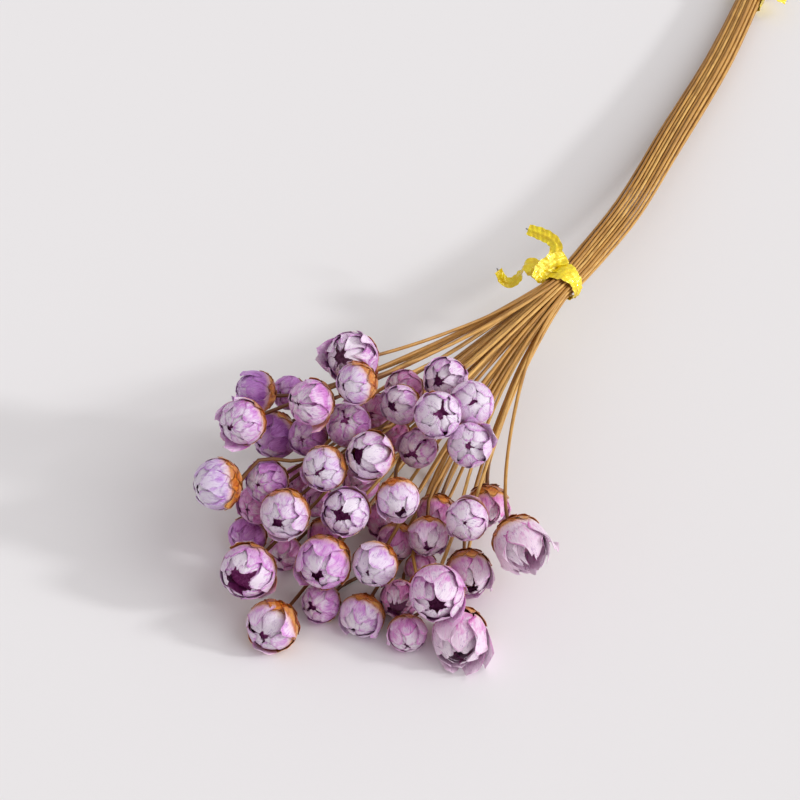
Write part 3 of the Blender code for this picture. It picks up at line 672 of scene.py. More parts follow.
# -------------------------------------------------------------------- meshes
def make(name, co, faces, attrs, looks, material_index=None, rims=None):
    """A smooth-shaded mesh object from mm points; faces are arrays of corner
    numbers (quads or triangles); attrs are per-point values. Edges between
    two points with the same number in `rims`, other than 0, stay crisp."""
    mesh = bpy.data.meshes.new(name)
    mesh.vertices.add(len(co))
    mesh.vertices.foreach_set("co", (co * MM).astype(np.float32).ravel())
    sizes = np.concatenate([np.full(len(f), f.shape[1]) for f in faces])
    corners = np.concatenate([f.ravel() for f in faces]).astype(np.int32)
    starts = np.concatenate([[0], np.cumsum(sizes)[:-1]]).astype(np.int32)
    mesh.loops.add(len(corners))
    mesh.loops.foreach_set("vertex_index", corners)
    mesh.polygons.add(len(sizes))
    mesh.polygons.foreach_set("loop_start", starts)
    mesh.polygons.foreach_set("loop_total", sizes.astype(np.int32))
    for look in looks:
        mesh.materials.append(look)
    if material_index is not None:
        mesh.polygons.foreach_set("material_index", material_index.astype(np.int32))
    mesh.update(calc_edges=True)
    mesh.validate()
    for key, value in attrs.items():
        value = np.asarray(value, np.float32)
        kind = "FLOAT_VECTOR" if value.ndim == 2 else "FLOAT"
        a = mesh.attributes.new(key, kind, "POINT")
        a.data.foreach_set("vector" if value.ndim == 2 else "value", value.ravel())
    mesh.shade_smooth()
    if rims is not None:
        ends = np.empty(len(mesh.edges) * 2, np.int32)
        mesh.edges.foreach_get("vertices", ends)
        ends = rims[ends.reshape(-1, 2)]
        a = mesh.attributes.new("sharp_edge", "BOOLEAN", "EDGE")
        a.data.foreach_set("value", (ends[:, 0] > 0) & (ends[:, 0] == ends[:, 1]))
    obj = bpy.data.objects.new(name, mesh)
    bpy.context.scene.collection.objects.link(obj)
    return obj


def ease(x):
    x = np.clip(x, 0.0, 1.0)
    return x * x * (3.0 - 2.0 * x)


def grid_faces(rows, cols):
    """Corner numbers of a closed thin shell on a rows by cols grid: outer
    face, inner face and the rim between them."""
    i, j = np.meshgrid(np.arange(rows - 1), np.arange(cols - 1), indexing="ij")
    a = (i * cols + j).ravel()
    b, c, d = a + 1, a + cols + 1, a + cols
    n = rows * cols
    out = [np.stack([a, b, c, d], 1), np.stack([a, d, c, b], 1) + n]
    j = np.arange(cols - 1)
    top = (rows - 1) * cols
    out.append(np.stack([j + 1, j, j + n, j + 1 + n], 1))
    out.append(np.stack([top + j, top + j + 1, top + j + 1 + n, top + j + n], 1))
    i = np.arange(rows - 1) * cols
    out.append(np.stack([i, i + cols, i + cols + n, i + n], 1))
    e = i + cols - 1
    out.append(np.stack([e + cols, e, e + n, e + cols + n], 1))
    return np.concatenate(out)


def grid_rims(rows, cols):
    """Marks the border points of such a shell, 1 outside and 2 inside."""
    edge = np.zeros((rows, cols), np.int32)
    edge[0], edge[-1], edge[:, 0], edge[:, -1] = 1, 1, 1, 1
    return np.concatenate([edge.ravel(), edge.ravel() * 2])


def meridian(sig, loft):
    """Outline of a bud by arc length from its base, radius 1: a circle up to
    its widest point, then an arc of radius `loft`. Returns radius, height and
    the outward direction there."""
    low = sig <= math.pi / 2
    psi = (sig - math.pi / 2) / loft
    r = np.where(low, np.sin(sig), 1.0 - loft + loft * np.cos(psi))
    z = np.where(low, -np.cos(sig), loft * np.sin(psi))
    nr = np.where(low, np.sin(sig), np.cos(psi))
    nz = np.where(low, -np.cos(sig), np.sin(psi))
    return r, z, nr, nz


ROWS = np.array([0.0, 0.14, 0.28, 0.42, 0.55, 0.67, 0.77, 0.86, 0.93, 0.97, 1.0])
COLS = np.array([-1.0, -0.91, -0.74, -0.52, -0.27, 0.0, 0.27, 0.52, 0.74, 0.91, 1.0])
ROWS_LOW = np.array([0.0, 0.25, 0.48, 0.68, 0.84, 0.94, 1.0])
COLS_LOW = np.array([-1.0, -0.84, -0.45, 0.0, 0.45, 0.84, 1.0])


def shells(centre, frame3, R, loft, p, rows, cols, thick, rng):
    """Thin curved shells round a bud. p holds one value per shell for: phi
    (which side), end (arc length of its tip), long, wide, taper, drop, power
    (shape of its tip), depth (how far its foot lies under the others), out
    (how proud it sits), flare, tuck (tip turned out or in), rag (torn tip)."""
    X, Y, A = frame3
    n, T, S = len(p["phi"]), len(rows), len(cols)
    t, s = rows[None, :, None], cols[None, None, :]

    def g(k):
        return p[k][:, None, None]
    w = g("wide") * (0.50 + 0.50 * ease(t / 0.55)) * (1.0 - g("taper") * ease((t - 0.50) / 0.50) ** 1.3)
    rag = rng.uniform(-1.0, 1.0, (n, 1, S)) * g("rag")
    v = t - g("drop") * np.abs(s) ** g("power") * t ** 2 + rag * t ** 5
    sig = g("end") - g("long") * (1.0 - v)
    r, z, nr, nz = meridian(np.clip(sig, 0.03, None), loft)
    ph = rng.uniform(0.0, 2.0 * math.pi, (4, n, 1, 1))
    amp = rng.uniform(0.5, 1.5, (4, n, 1, 1))
    sway = g("phi") + 0.10 * (amp[3] - 1.0) * t + 0.0 * s
    c, q = np.cos(sway), np.sin(sway)
    radial = c[..., None] * X + q[..., None] * Y
    across = -q[..., None] * X + c[..., None] * Y
    normal = radial * nr[..., None] + A * nz[..., None]
    wrinkle = (0.007 * amp[0] * np.sin(5.0 * s + ph[0]) * t + 0.005 * amp[1] * np.sin(4.0 * s + 8.0 * t + ph[1]) * t
               + 0.006 * amp[2] * np.sin(8.5 * s + ph[2]) * t ** 3)
    # the margin clings to what lies under it
    wrinkle = wrinkle - g("cling") * np.maximum(np.abs(s) ** 5 * ease(t * 2.0), t ** 9)
    lift = (g("out") - g("depth") * (1.0 - t) ** 1.15 + g("flare") * t ** 2.2 - g("tuck") * t ** 4
            + g("cup") * s ** 2 * ease(t * 1.4) + wrinkle)
    wrap = g("wrap")
    beta = s * w / wrap
    P = (radial * r[..., None] + A * z[..., None] + normal * lift[..., None]
         + across * (wrap * np.sin(beta))[..., None] - normal * (wrap * (1.0 - np.cos(beta)))[..., None])
    facing = normal * np.cos(beta)[..., None] + across * np.sin(beta)[..., None]
    outer = centre + P * R
    inner = outer - facing * thick
    co = np.stack([outer.reshape(n, T * S, 3), inner.reshape(n, T * S, 3)], 1).reshape(-1, 3)
    base = grid_faces(T, S)
    faces = (base[None] + (np.arange(n) * 2 * T * S)[:, None, None]).reshape(-1, 4)

    def both(a):
        a = np.broadcast_to(a, (n, T, S)).reshape(n, 1, T * S)
        return np.concatenate([a, a], 1).ravel()
    side = np.minimum((1.0 - np.abs(s)) * w * R, (1.0 - t) * g("long") * R * 0.9 + 0.0 * s)
    seed = rng.uniform(0.0, 1.0, (n, 1, 1)) + 0.0 * t * s
    margin = np.where((np.abs(s) > 0.99) | (t > 0.99), 0.30, np.where((np.abs(s) > 0.85) | (t > 0.95), 0.65, 1.0))
    inside = np.concatenate([np.zeros((n, 1, T * S)), (margin * g("plum")).reshape(n, 1, T * S)], 1).ravel()
    place = np.stack([both(s * w * R + ph[0] * 7.0), both(v * g("long") * R + ph[1] * 9.0), both(seed * 40.0)], 1)
    attrs = {"tt": both(t + 0.0 * s), "edge": both(side), "pole": both(sig / math.pi), "inner": inside,
             "seed": both(seed), "fresh": both(g("fresh") + 0.0 * t * s), "place": place}
    return co, faces, attrs


def heart(centre, frame3, R, mouth, rng):
    """The bumpy core of a bud, hollow-topped in an open one."""
    X, Y, A = frame3
    k = min(max((mouth - 0.14) / 0.16, 0.0), 1.0)
    rs = np.array([0.0, 0.30, 0.52, 0.66, 0.70, 0.66, 0.60, 0.46, 0.25, 0.0])
    closed = np.array([-0.70, -0.62, -0.46, -0.22, 0.04, 0.28, 0.42, 0.56, 0.62, 0.64])
    hollow = np.array([-0.70, -0.62, -0.46, -0.30, -0.14, 0.10, 0.14, 0.08, 0.04, 0.08])
    zs = closed * (1.0 - k) + hollow * k
    m = 20
    ang = np.arange(m) * 2.0 * math.pi / m
    co, ring = [], []
    for a, (r, z) in enumerate(zip(rs[1:-1], zs[1:-1])):
        b = 1.0 + 0.05 * np.sin(ang * 7.0 + a * 2.1) + 0.03 * rng.uniform(-1.0, 1.0, m)
        h = z + 0.035 * np.sin(ang * 5.0 + a * 1.7) + 0.02 * rng.uniform(-1.0, 1.0, m)
        co.append(centre + R * ((np.cos(ang) * r * b)[:, None] * X + (np.sin(ang) * r * b)[:, None] * Y + h[:, None] * A))
    rows = len(co)
    co = np.concatenate(co + [centre + R * A * zs[0] + np.zeros((1, 3)), centre + R * A * zs[-1] + np.zeros((1, 3))])
    j = np.arange(m)
    j2 = (j + 1) % m
    quads = np.concatenate([np.stack([a * m + j, a * m + j2, (a + 1) * m + j2, (a + 1) * m + j], 1)
                            for a in range(rows - 1)])
    lo, hi = rows * m, rows * m + 1
    tris = np.concatenate([np.stack([j2, j, np.full(m, lo)], 1),
                           np.stack([(rows - 1) * m + j, (rows - 1) * m + j2, np.full(m, hi)], 1)])
    return co, quads, tris


def press(co, i, pos, R):
    """Neighbouring buds and the surface press a bud's bracts back: no point
    passes the plane between two buds, or goes below the surface."""
    for j in range(len(pos)):
        if j == i:
            continue
        w = pos[j] - pos[i]
        far = math.sqrt(dot(w, w))
        if far > (R[i] + R[j]) * 1.5:
            continue
        n = w / far
        wall = far * R[i] / (R[i] + R[j]) - 0.02
        h = (co - pos[i]) @ n
        k = 0.07
        x = (h - wall) / k
        new = wall - k * (np.logaddexp(0.0, -x))
        new = np.where(x < -6.0, h, new)
        co = co + (new - h)[:, None] * n
    k = 0.07
    x = (co[:, 2] - 0.03) / k
    z = 0.03 + k * np.logaddexp(0.0, x)
    co = co.copy()
    co[:, 2] = np.where(x > 8.0, co[:, 2], z)
    return co


def dent(co, i, centre, R, paths):
    """A stem of another stalk that runs close past a bud presses a groove
    into it, so that no bract passes through the stem."""
    keep, k = 0.40, 0.05
    for j, line in enumerate(paths):
        a, b = line[:-1], line[1:]
        mid = (a + b) * 0.5 - centre
        close = np.sqrt((mid * mid).sum(1)) < R * 1.6 + 2.0
        if j == i or not close.any():
            continue
        a, b = a[close], b[close]
        ab = b - a
        t = ((co[:, None] - a) * ab).sum(2) / (ab * ab).sum(1)
        foot = a + np.clip(t, 0.0, 1.0)[..., None] * ab
        gap = ((co[:, None] - foot) ** 2).sum(2)
        best = gap.argmin(1)
        foot = foot[np.arange(len(co)), best]
        way = ab[best] / np.sqrt((ab[best] ** 2).sum(1))[:, None]
        h = foot - centre
        h = h - way * (h * way).sum(1)[:, None]
        h = h / np.sqrt((h * h).sum(1))[:, None]
        side = np.cross(way, h)
        rel = co - foot
        rise, off = (rel * h).sum(1), np.abs((rel * side).sum(1))
        limit = np.maximum(off - keep, 0.0) * 1.3 - keep
        x = (rise - limit) / k
        new = limit - k * np.logaddexp(0.0, -x)
        move = np.where((x > -6.0) & (gap.min(1) < 4.0), new - rise, 0.0)
        co = co + move[:, None] * h
    return co


def bud(i, pos, R, axes, paths):
    """The bracts, base scales and heart of one bud."""
    u, v, r, tu, tv, facing, opened, layer = FLOWERS[i]
    blush, depth, loose, cap = LOOKS[i + 1]
    shape = SHAPES.get(i + 1, {})
    climb = (180.0 - cap + 4.0) / 180.0
    rng = np.random.default_rng(1000 + i)
    A = axes[i]
    helper = np.array([0.0, 0.0, 1.0]) if abs(A[2]) < 0.9 else np.array([1.0, 0.0, 0.0])
    X = unit(np.cross(helper, A))
    Y = np.cross(A, X)
    frame3 = (X, Y, A)
    loft = shape.get("loft", 1.0 + 0.40 * max(0.0, opened - 0.25))
    mouth = shape.get("mouth", 0.03 + 0.50 * opened)
    point, spread, plum = shape.get("point", 0.0), shape.get("flare", 0.0), shape.get("plum", 1.0)
    keen, torn, airy = shape.get("keen", 1.0), shape.get("torn", 1.0), shape.get("airy", 0.30 + 0.50 * loose)
    tall = shape.get("tall", 0.12 if i + 1 in (1, 2, 5, 20, 30) else 0.38)
    open1 = float(ease((mouth - 0.14) / 0.22))
    split = climb * math.pi
    peak = math.pi / 2 + loft * math.acos(min(max((mouth - 1.0 + loft) / loft, -1.0), 1.0))
    n = 27 - shape.get("fewer", 0) + (4 if i + 1 in (1, 2, 20, 23) else 0)
    n_scale = int(round(16 + (math.degrees(split) - 73.0) * 0.18))
    n_bract = n + 4 - n_scale
    golden = math.pi * (3.0 - math.sqrt(5.0)) * (1.0 if wobble(i, 5) > 0 else -1.0)
    phi = wobble(i, 6) * math.pi + golden * np.arange(n + 4) + rng.uniform(-0.10, 0.10, n + 4)
    # base scales
    grow = np.linspace(0.0, 1.0, n_scale)
    ends = np.arccos(0.90 - (0.90 - math.cos(split) + 0.13) * grow ** 0.62)
    ps = {"phi": phi[:n_scale], "end": ends + rng.uniform(-0.05, 0.06, n_scale),
          "long": 0.60 + 0.50 * grow, "wide": 0.29 + 0.23 * grow + rng.uniform(-0.04, 0.04, n_scale),
          "taper": rng.uniform(0.40, 0.66, n_scale), "drop": rng.uniform(0.14, 0.28, n_scale),
          "power": rng.uniform(1.6, 2.4, n_scale), "depth": np.full(n_scale, 0.125),
          "out": -0.035 + 0.055 * grow, "flare": rng.uniform(0.01, 0.06, n_scale), "tuck": np.full(n_scale, 0.010),
          "rag": np.full(n_scale, 0.010), "cup": rng.uniform(-0.004, 0.014, n_scale), "wrap": np.full(n_scale, 1.0),
          "plum": np.full(n_scale, 0.0), "fresh": np.full(n_scale, 0.0), "cling": np.full(n_scale, 0.004)}
    co_s, f_s, at_s = shells(pos[i], frame3, R[i], loft, ps, ROWS_LOW, COLS_LOW, 0.055, rng)
    # bracts
    q = np.linspace(0.0, 1.0, n_bract)
    first = split + 0.05 + 0.80 * tall * (peak - split - 0.05)
    ends = first + (peak - first) * (1.0 - (1.0 - q) ** 1.2)
    top = ease((q - 0.55) / 0.45)
    ends = ends + rng.uniform(-0.05, 0.05, n_bract) - 0.02 * top
    # the mouth is never round: some bracts reach further over it than others
    side1, side2 = rng.uniform(0.0, 2.0 * math.pi, 2)
    reach = (0.05 + 0.05 * open1) * np.cos(phi[n_scale:] - side1) + (0.05 + 0.06 * open1) * np.cos(2.0 * (phi[n_scale:] - side2))
    up_side = math.atan2(dot(up, Y), dot(up, X))
    reach = reach + shape.get("hood", 0.05) * np.cos(phi[n_scale:] - up_side)
    ends = ends + top * reach
    flare = rng.uniform(0.0, 0.02, n_bract)
    shaggy = rng.uniform(0.0, 1.0, n_bract) < 0.16 + 0.60 * loose
    flare = flare + np.where(shaggy & (q < 0.6), rng.uniform(0.04, 0.07 + 0.58 * loose, n_bract), 0.0)
    long = np.maximum(1.30 + 0.35 * q + 0.25 * (loft - 1.0), (ends - split + 0.35) * tall)
    pb = {"phi": phi[n_scale:], "end": ends, "long": long,
          "wide": (0.66 - 0.12 * top) * (1.0 + rng.uniform(-0.15, 0.13, n_bract)) * shape.get("wide", 1.0),
          "taper": keen * rng.uniform(0.40, 0.66, n_bract) + 0.04 * loose + 0.22 * point * q,
          "drop": keen * rng.uniform(0.13, 0.26, n_bract) + 0.18 * point * q,
          "power": rng.uniform(1.6, 2.6, n_bract) - 0.2 * loose - 0.5 * point * q,
          "depth": np.full(n_bract, 0.046),
          "out": (-0.020 * q - (0.030 if tall > 0.5 else 0.050) * top
                  + 0.030 * airy * np.cos(2.4 * np.arange(n_bract))), "flare": flare + open1 * top * rng.uniform(-0.03, 0.05, n_bract) + spread * q,
          "tuck": 0.012 + 0.030 * top * (1.0 - open1), "rag": torn * keen * (0.014 + 0.036 * rng.uniform(0.0, 1.0, n_bract) * (0.6 + open1)),
          "cup": rng.uniform(-0.020, 0.004, n_bract) + 0.030 * airy, "wrap": np.full(n_bract, 0.98),
          "plum": 0.12 + (0.20 + 0.45 * ease((q - 0.45) / 0.55)) * plum, "fresh": top,
          "cling": np.where(shaggy, 0.0, 0.042 * (1.0 - 0.7 * open1 * top) * (1.0 - 0.5 * point) * (1.0 - airy))}
    # inner bracts that line the hollow, in two rings
    n_in = 10 if open1 > 0.3 else 7
    k = np.arange(n_in)
    ring = (k >= (6 if open1 > 0.3 else 4)).astype(float)
    turn = np.where(ring > 0.0, k * 2.0 * math.pi / max((n_in - 6 if open1 > 0.3 else n_in - 4), 1) + 0.5,
                    k * 2.0 * math.pi / (6 if open1 > 0.3 else 4))
    pin = {"phi": phi[-1] + 0.5 + turn + rng.uniform(-0.15, 0.15, n_in),
           "end": peak - 0.02 - 0.06 * ring * (1.0 - 0.4 * open1) + rng.uniform(-0.10, 0.08, n_in) * (0.5 + 0.5 * open1),
           "long": np.full(n_in, 1.25), "wide": 0.44 + rng.uniform(-0.04, 0.04, n_in),
           "taper": keen * rng.uniform(0.40, 0.62, n_in) + 0.20 * point,
           "drop": keen * rng.uniform(0.10, 0.22, n_in) + 0.12 * point,
           "power": rng.uniform(1.5, 2.3, n_in) - 0.4 * point, "depth": np.full(n_in, 0.05),
           "out": -0.090 - 0.045 * ring - 0.008 * (k % 3), "flare": spread * 0.5 * (1.0 - ring),
           "tuck": np.full(n_in, 0.035 * (1.0 - open1)), "rag": np.full(n_in, 0.050 * torn),
           "cup": rng.uniform(-0.01, 0.01, n_in), "wrap": np.full(n_in, 0.86),
           "plum": np.full(n_in, plum), "fresh": np.full(n_in, 0.9), "cling": np.full(n_in, 0.010)}
    pb = {key: np.concatenate([pb[key], pin[key]]) for key in pb}
    co_b, f_b, at_b = shells(pos[i], frame3, R[i], loft, pb, ROWS, COLS, 0.045, rng)
    rims_s = np.tile(grid_rims(len(ROWS_LOW), len(COLS_LOW)), n_scale)
    rims_b = np.tile(grid_rims(len(ROWS), len(COLS)), n_bract + n_in)
    co_h, q_h, t_h = heart(pos[i], frame3, R[i], mouth, rng)
    co_s, co_b, co_h = press(co_s, i, pos, R), press(co_b, i, pos, R), press(co_h, i, pos, R)
    co_s, co_b = dent(co_s, i, pos[i], R[i], paths), dent(co_b, i, pos[i], R[i], paths)
    # one mesh of bracts and heart
    nb = len(co_b)
    co = np.concatenate([co_b, co_h])
    attrs = {}
    for key, value in at_b.items():
        if value.ndim == 2:
            attrs[key] = np.concatenate([value, co_h])
        else:
            attrs[key] = np.concatenate([value, np.full(len(co_h), plum)])
    # painted shade: buds in the back layers are given deeper colour where the front buds keep the light off them, and
    # pinker colour, partly a painted warm glow of light through their bracts
    if layer in (2, 3):
        depth, blush = min(1.0, 0.08 + 1.1 * depth), min(1.0, blush + (0.30 if blush > 0.42 else 0.0))
    for at, count in ((attrs, len(co)), (at_s, len(co_s))):
        at["blush"] = np.full(count, blush)
        at["depth"] = np.full(count, depth)
        at["climb"] = np.full(count, climb)
    index = np.concatenate([np.zeros(len(f_b)), np.ones(len(q_h) + len(t_h))])
    name = "flower_%02d" % (i + 1)
    petals = make(name + "_bracts", co + SHIFT, [f_b, q_h + nb, t_h + nb], attrs, [BRACTS, HEART], index,
                  np.concatenate([rims_b, np.zeros(len(co_h), np.int32)]))
    scales = make(name + "_scales", co_s + SHIFT, [f_s], at_s, [CALYX], None, rims_s)
    return petals, scales


def smooth_line(pts, gap):
    """Points about `gap` mm apart on a smooth curve through pts."""
    ext = np.concatenate([[2 * pts[0] - pts[1]], pts, [2 * pts[-1] - pts[-2]]])
    out = []
    for k in range(1, len(ext) - 2):
        p0, p1, p2, p3 = ext[k - 1], ext[k], ext[k + 1], ext[k + 2]
        d01, d12, d23 = (max(math.sqrt(dot(x, x)), 1e-6) ** 0.5 for x in (p1 - p0, p2 - p1, p3 - p2))
        m1 = (p2 - p1) + d12 * ((p1 - p0) / d01 - (p2 - p0) / (d01 + d12))
        m2 = (p2 - p1) + d12 * ((p3 - p2) / d23 - (p3 - p1) / (d12 + d23))
        steps = max(2, int(round(math.sqrt(dot(p2 - p1, p2 - p1)) / gap)))
        for t in np.arange(steps) / steps:
            out.append((2 * t**3 - 3 * t**2 + 1) * p1 + (t**3 - 2 * t**2 + t) * m1
                       + (-2 * t**3 + 3 * t**2) * p2 + (t**3 - t**2) * m2)
    out.append(pts[-1])
    return np.array(out)


def frames(line):
    """Tangent and two directions across it along a line, without twist."""
    tan = np.gradient(line, axis=0)
    tan /= np.sqrt((tan * tan).sum(1))[:, None]
    a = np.cross(tan[0], [0.0, 0.0, 1.0])
    if dot(a, a) < 1e-6:
        a = np.cross(tan[0], [1.0, 0.0, 0.0])
    out = [unit(a)]
    for k in range(1, len(line)):
        a = out[-1] - tan[k] * dot(out[-1], tan[k])
        out.append(unit(a))
    a = np.array(out)
    return tan, a, np.cross(tan, a)


def stem(i, pts, R):
    """One wiry stem: five-ribbed, a little uneven, swelling into the bud's
    base, with a hollow-centred cut end."""
    rng = np.random.default_rng(5000 + i)
    line = smooth_line(pts, 3.0)
    tan, a, b = frames(line)
    n, m = len(line), 10
    step = np.sqrt(((line[1:] - line[:-1]) ** 2).sum(1))
    run = np.concatenate([[0.0], np.cumsum(step)])
    run = run[-1] - run                      # mm from the end inside the bud
    inside = math.sqrt(dot(pts[-1] - pts[-2], pts[-1] - pts[-2]))
    free = run - inside                      # mm from the bud's base
    rad = 0.268 + 0.018 * np.sin(run * 0.21 + i) * np.sin(run * 0.043 + 2.0 * i)
    rad = rad + 0.030 * ease((70.0 - free) / 60.0) + 0.012 * rng.uniform(-1.0, 1.0, n)
    rad = rad + 0.12 * R * 0.30 * ease((1.6 - free) / 1.8)
    ang = np.arange(m) * 2.0 * math.pi / m
    rib = 1.0 + 0.045 * np.where(np.arange(m) % 2 == 0, 1.0, -1.0)
    twist = run * 0.02 + i
    th = ang[None, :] + twist[:, None]
    co = (line[:, None, :] + (np.cos(th) * rad[:, None] * rib)[..., None] * a[:, None, :]
          + (np.sin(th) * rad[:, None] * rib)[..., None] * b[:, None, :]).reshape(-1, 3)
    j = np.arange(m)
    j2 = (j + 1) % m
    quads = [np.stack([k * m + j2, k * m + j, (k + 1) * m + j, (k + 1) * m + j2], 1) for k in range(n - 1)]
    # cut end: an inset ring and a sunk centre
    ring = line[0] - tan[0] * 0.0 + (co[:m] - line[0]) * 0.5
    deep = line[0] + tan[0] * 0.12
    co = np.concatenate([co, ring, [deep], [line[-1]]])
    k0, k1, k2 = n * m, n * m + m, n * m + m + 1
    quads.append(np.stack([j, j2, k0 + j2, k0 + j], 1))
    tris = np.concatenate([np.stack([k0 + j, k0 + j2, np.full(m, k1)], 1),
                           np.stack([(n - 1) * m + j2, (n - 1) * m + j, np.full(m, k2)], 1)])
    around = np.concatenate([np.tile(ang * 0.2, n), ang * 0.1, [0.0, 0.0]])
    along = np.concatenate([np.repeat(run, m), np.full(m, run[0] + 0.1), [run[0] + 0.2, 0.0]])
    away = np.concatenate([np.repeat(free, m), np.full(m, free[0]), [free[0], -1.0]])
    seed = 0.5 + 0.5 * wobble(i, 9)
    k = 0.05
    x = (co[:, 2] - 0.03) / k
    co[:, 2] = np.where(x > 8.0, co[:, 2], 0.03 + k * np.logaddexp(0.0, x))
    count = len(co)
    # the painted shade near the bud reaches about three times as far along the stems of the buds on the left of the
    # view, the side away from the key light
    attrs = {"place": np.stack([around + 3.0 * i, along, np.full(count, 11.0 * seed)], 1), "run": away,
             "seed": np.full(count, seed), "dark": np.full(count, 0.92),
             "neck": away * (0.28 if FLOWERS[i][0] < 345 else 0.9)}
    quads = np.concatenate(quads)[:, ::-1]
    return make("flower_%02d_stem" % (i + 1), co + SHIFT, [quads, tris[:, ::-1]], attrs, [STEMS])


# ---------------------------------------------------------------- twist ties
def strip(line, wide, width, rng, crumple=0.05, seed=0.0):
    """A foil strip with a wire down its middle, along line; wide gives the
    direction of its width at each point and width its half-width there."""
    n = len(line)
    tan = np.gradient(line, axis=0)
    tan /= np.sqrt((tan * tan).sum(1))[:, None]
    wide = wide - tan * (wide * tan).sum(1)[:, None]
    wide /= np.sqrt((wide * wide).sum(1))[:, None]
    out = np.cross(tan, wide)
    x = np.array([-1.0, -0.93, -0.72, -0.48, -0.28, -0.16, 0.0, 0.16, 0.28, 0.48, 0.72, 0.93, 1.0])
    h = 0.045 + 0.17 * np.exp(-(x / 0.20) ** 2)
    m = len(x)
    ph = rng.uniform(0.0, 6.28, 6)
    arc = np.concatenate([[0.0], np.cumsum(np.sqrt(((line[1:] - line[:-1]) ** 2).sum(1)))])
    bend = crumple * (np.sin(arc[:, None] * 3.1 + x * 2.2 + ph[0]) * 0.6 + np.sin(arc[:, None] * 6.7 - x * 4.1 + ph[1]) * 0.5
                      + np.sin(arc[:, None] * 1.7 + x * 5.0 + ph[2]) * 0.5) * (0.3 + np.abs(x))
    span = width[:, None] * x[None, :] * (1.0 + 0.05 * np.sin(arc * 4.3 + ph[3]))[:, None]
    mid = line[:, None, :] + span[..., None] * wide[:, None, :]
    upper = mid + (h + bend)[..., None] * out[:, None, :]
    lower = mid + (bend - h)[..., None] * out[:, None, :]
    co = np.concatenate([upper.reshape(-1, 3), lower.reshape(-1, 3)])
    faces = grid_faces(n, m)
    along = np.repeat(arc, m)
    side = np.tile(x, n) * np.repeat(width, m)
    edge = (1.0 - np.abs(np.tile(x, n))) * np.repeat(width, m)
    place = np.stack([side, along, np.full(n * m, seed)], 1)
    return co, faces, np.concatenate([place, place]), np.concatenate([edge, edge]), grid_rims(n, m)


def rod(line, radius, m=8):
    tan, a, b = frames(line)
    n = len(line)
    ang = np.arange(m) * 2.0 * math.pi / m
    co = (line[:, None, :] + radius * np.cos(ang)[None, :, None] * a[:, None, :]
          + radius * np.sin(ang)[None, :, None] * b[:, None, :]).reshape(-1, 3)
    j = np.arange(m)
    j2 = (j + 1) % m
    quads = np.concatenate([np.stack([k * m + j, k * m + j2, (k + 1) * m + j2, (k + 1) * m + j], 1) for k in range(n - 1)])
    co = np.concatenate([co, [line[0]], [line[-1]]])
    tris = np.concatenate([np.stack([j2, j, np.full(m, n * m)], 1),
                           np.stack([(n - 1) * m + j, (n - 1) * m + j2, np.full(m, n * m + 1)], 1)])
    return co, quads, tris


def band_radius():
    far = max(math.hypot(x, z) for x, z in slots(len(FLOWERS)))
    return far + STEM_D * 0.5 + BAND_GAP


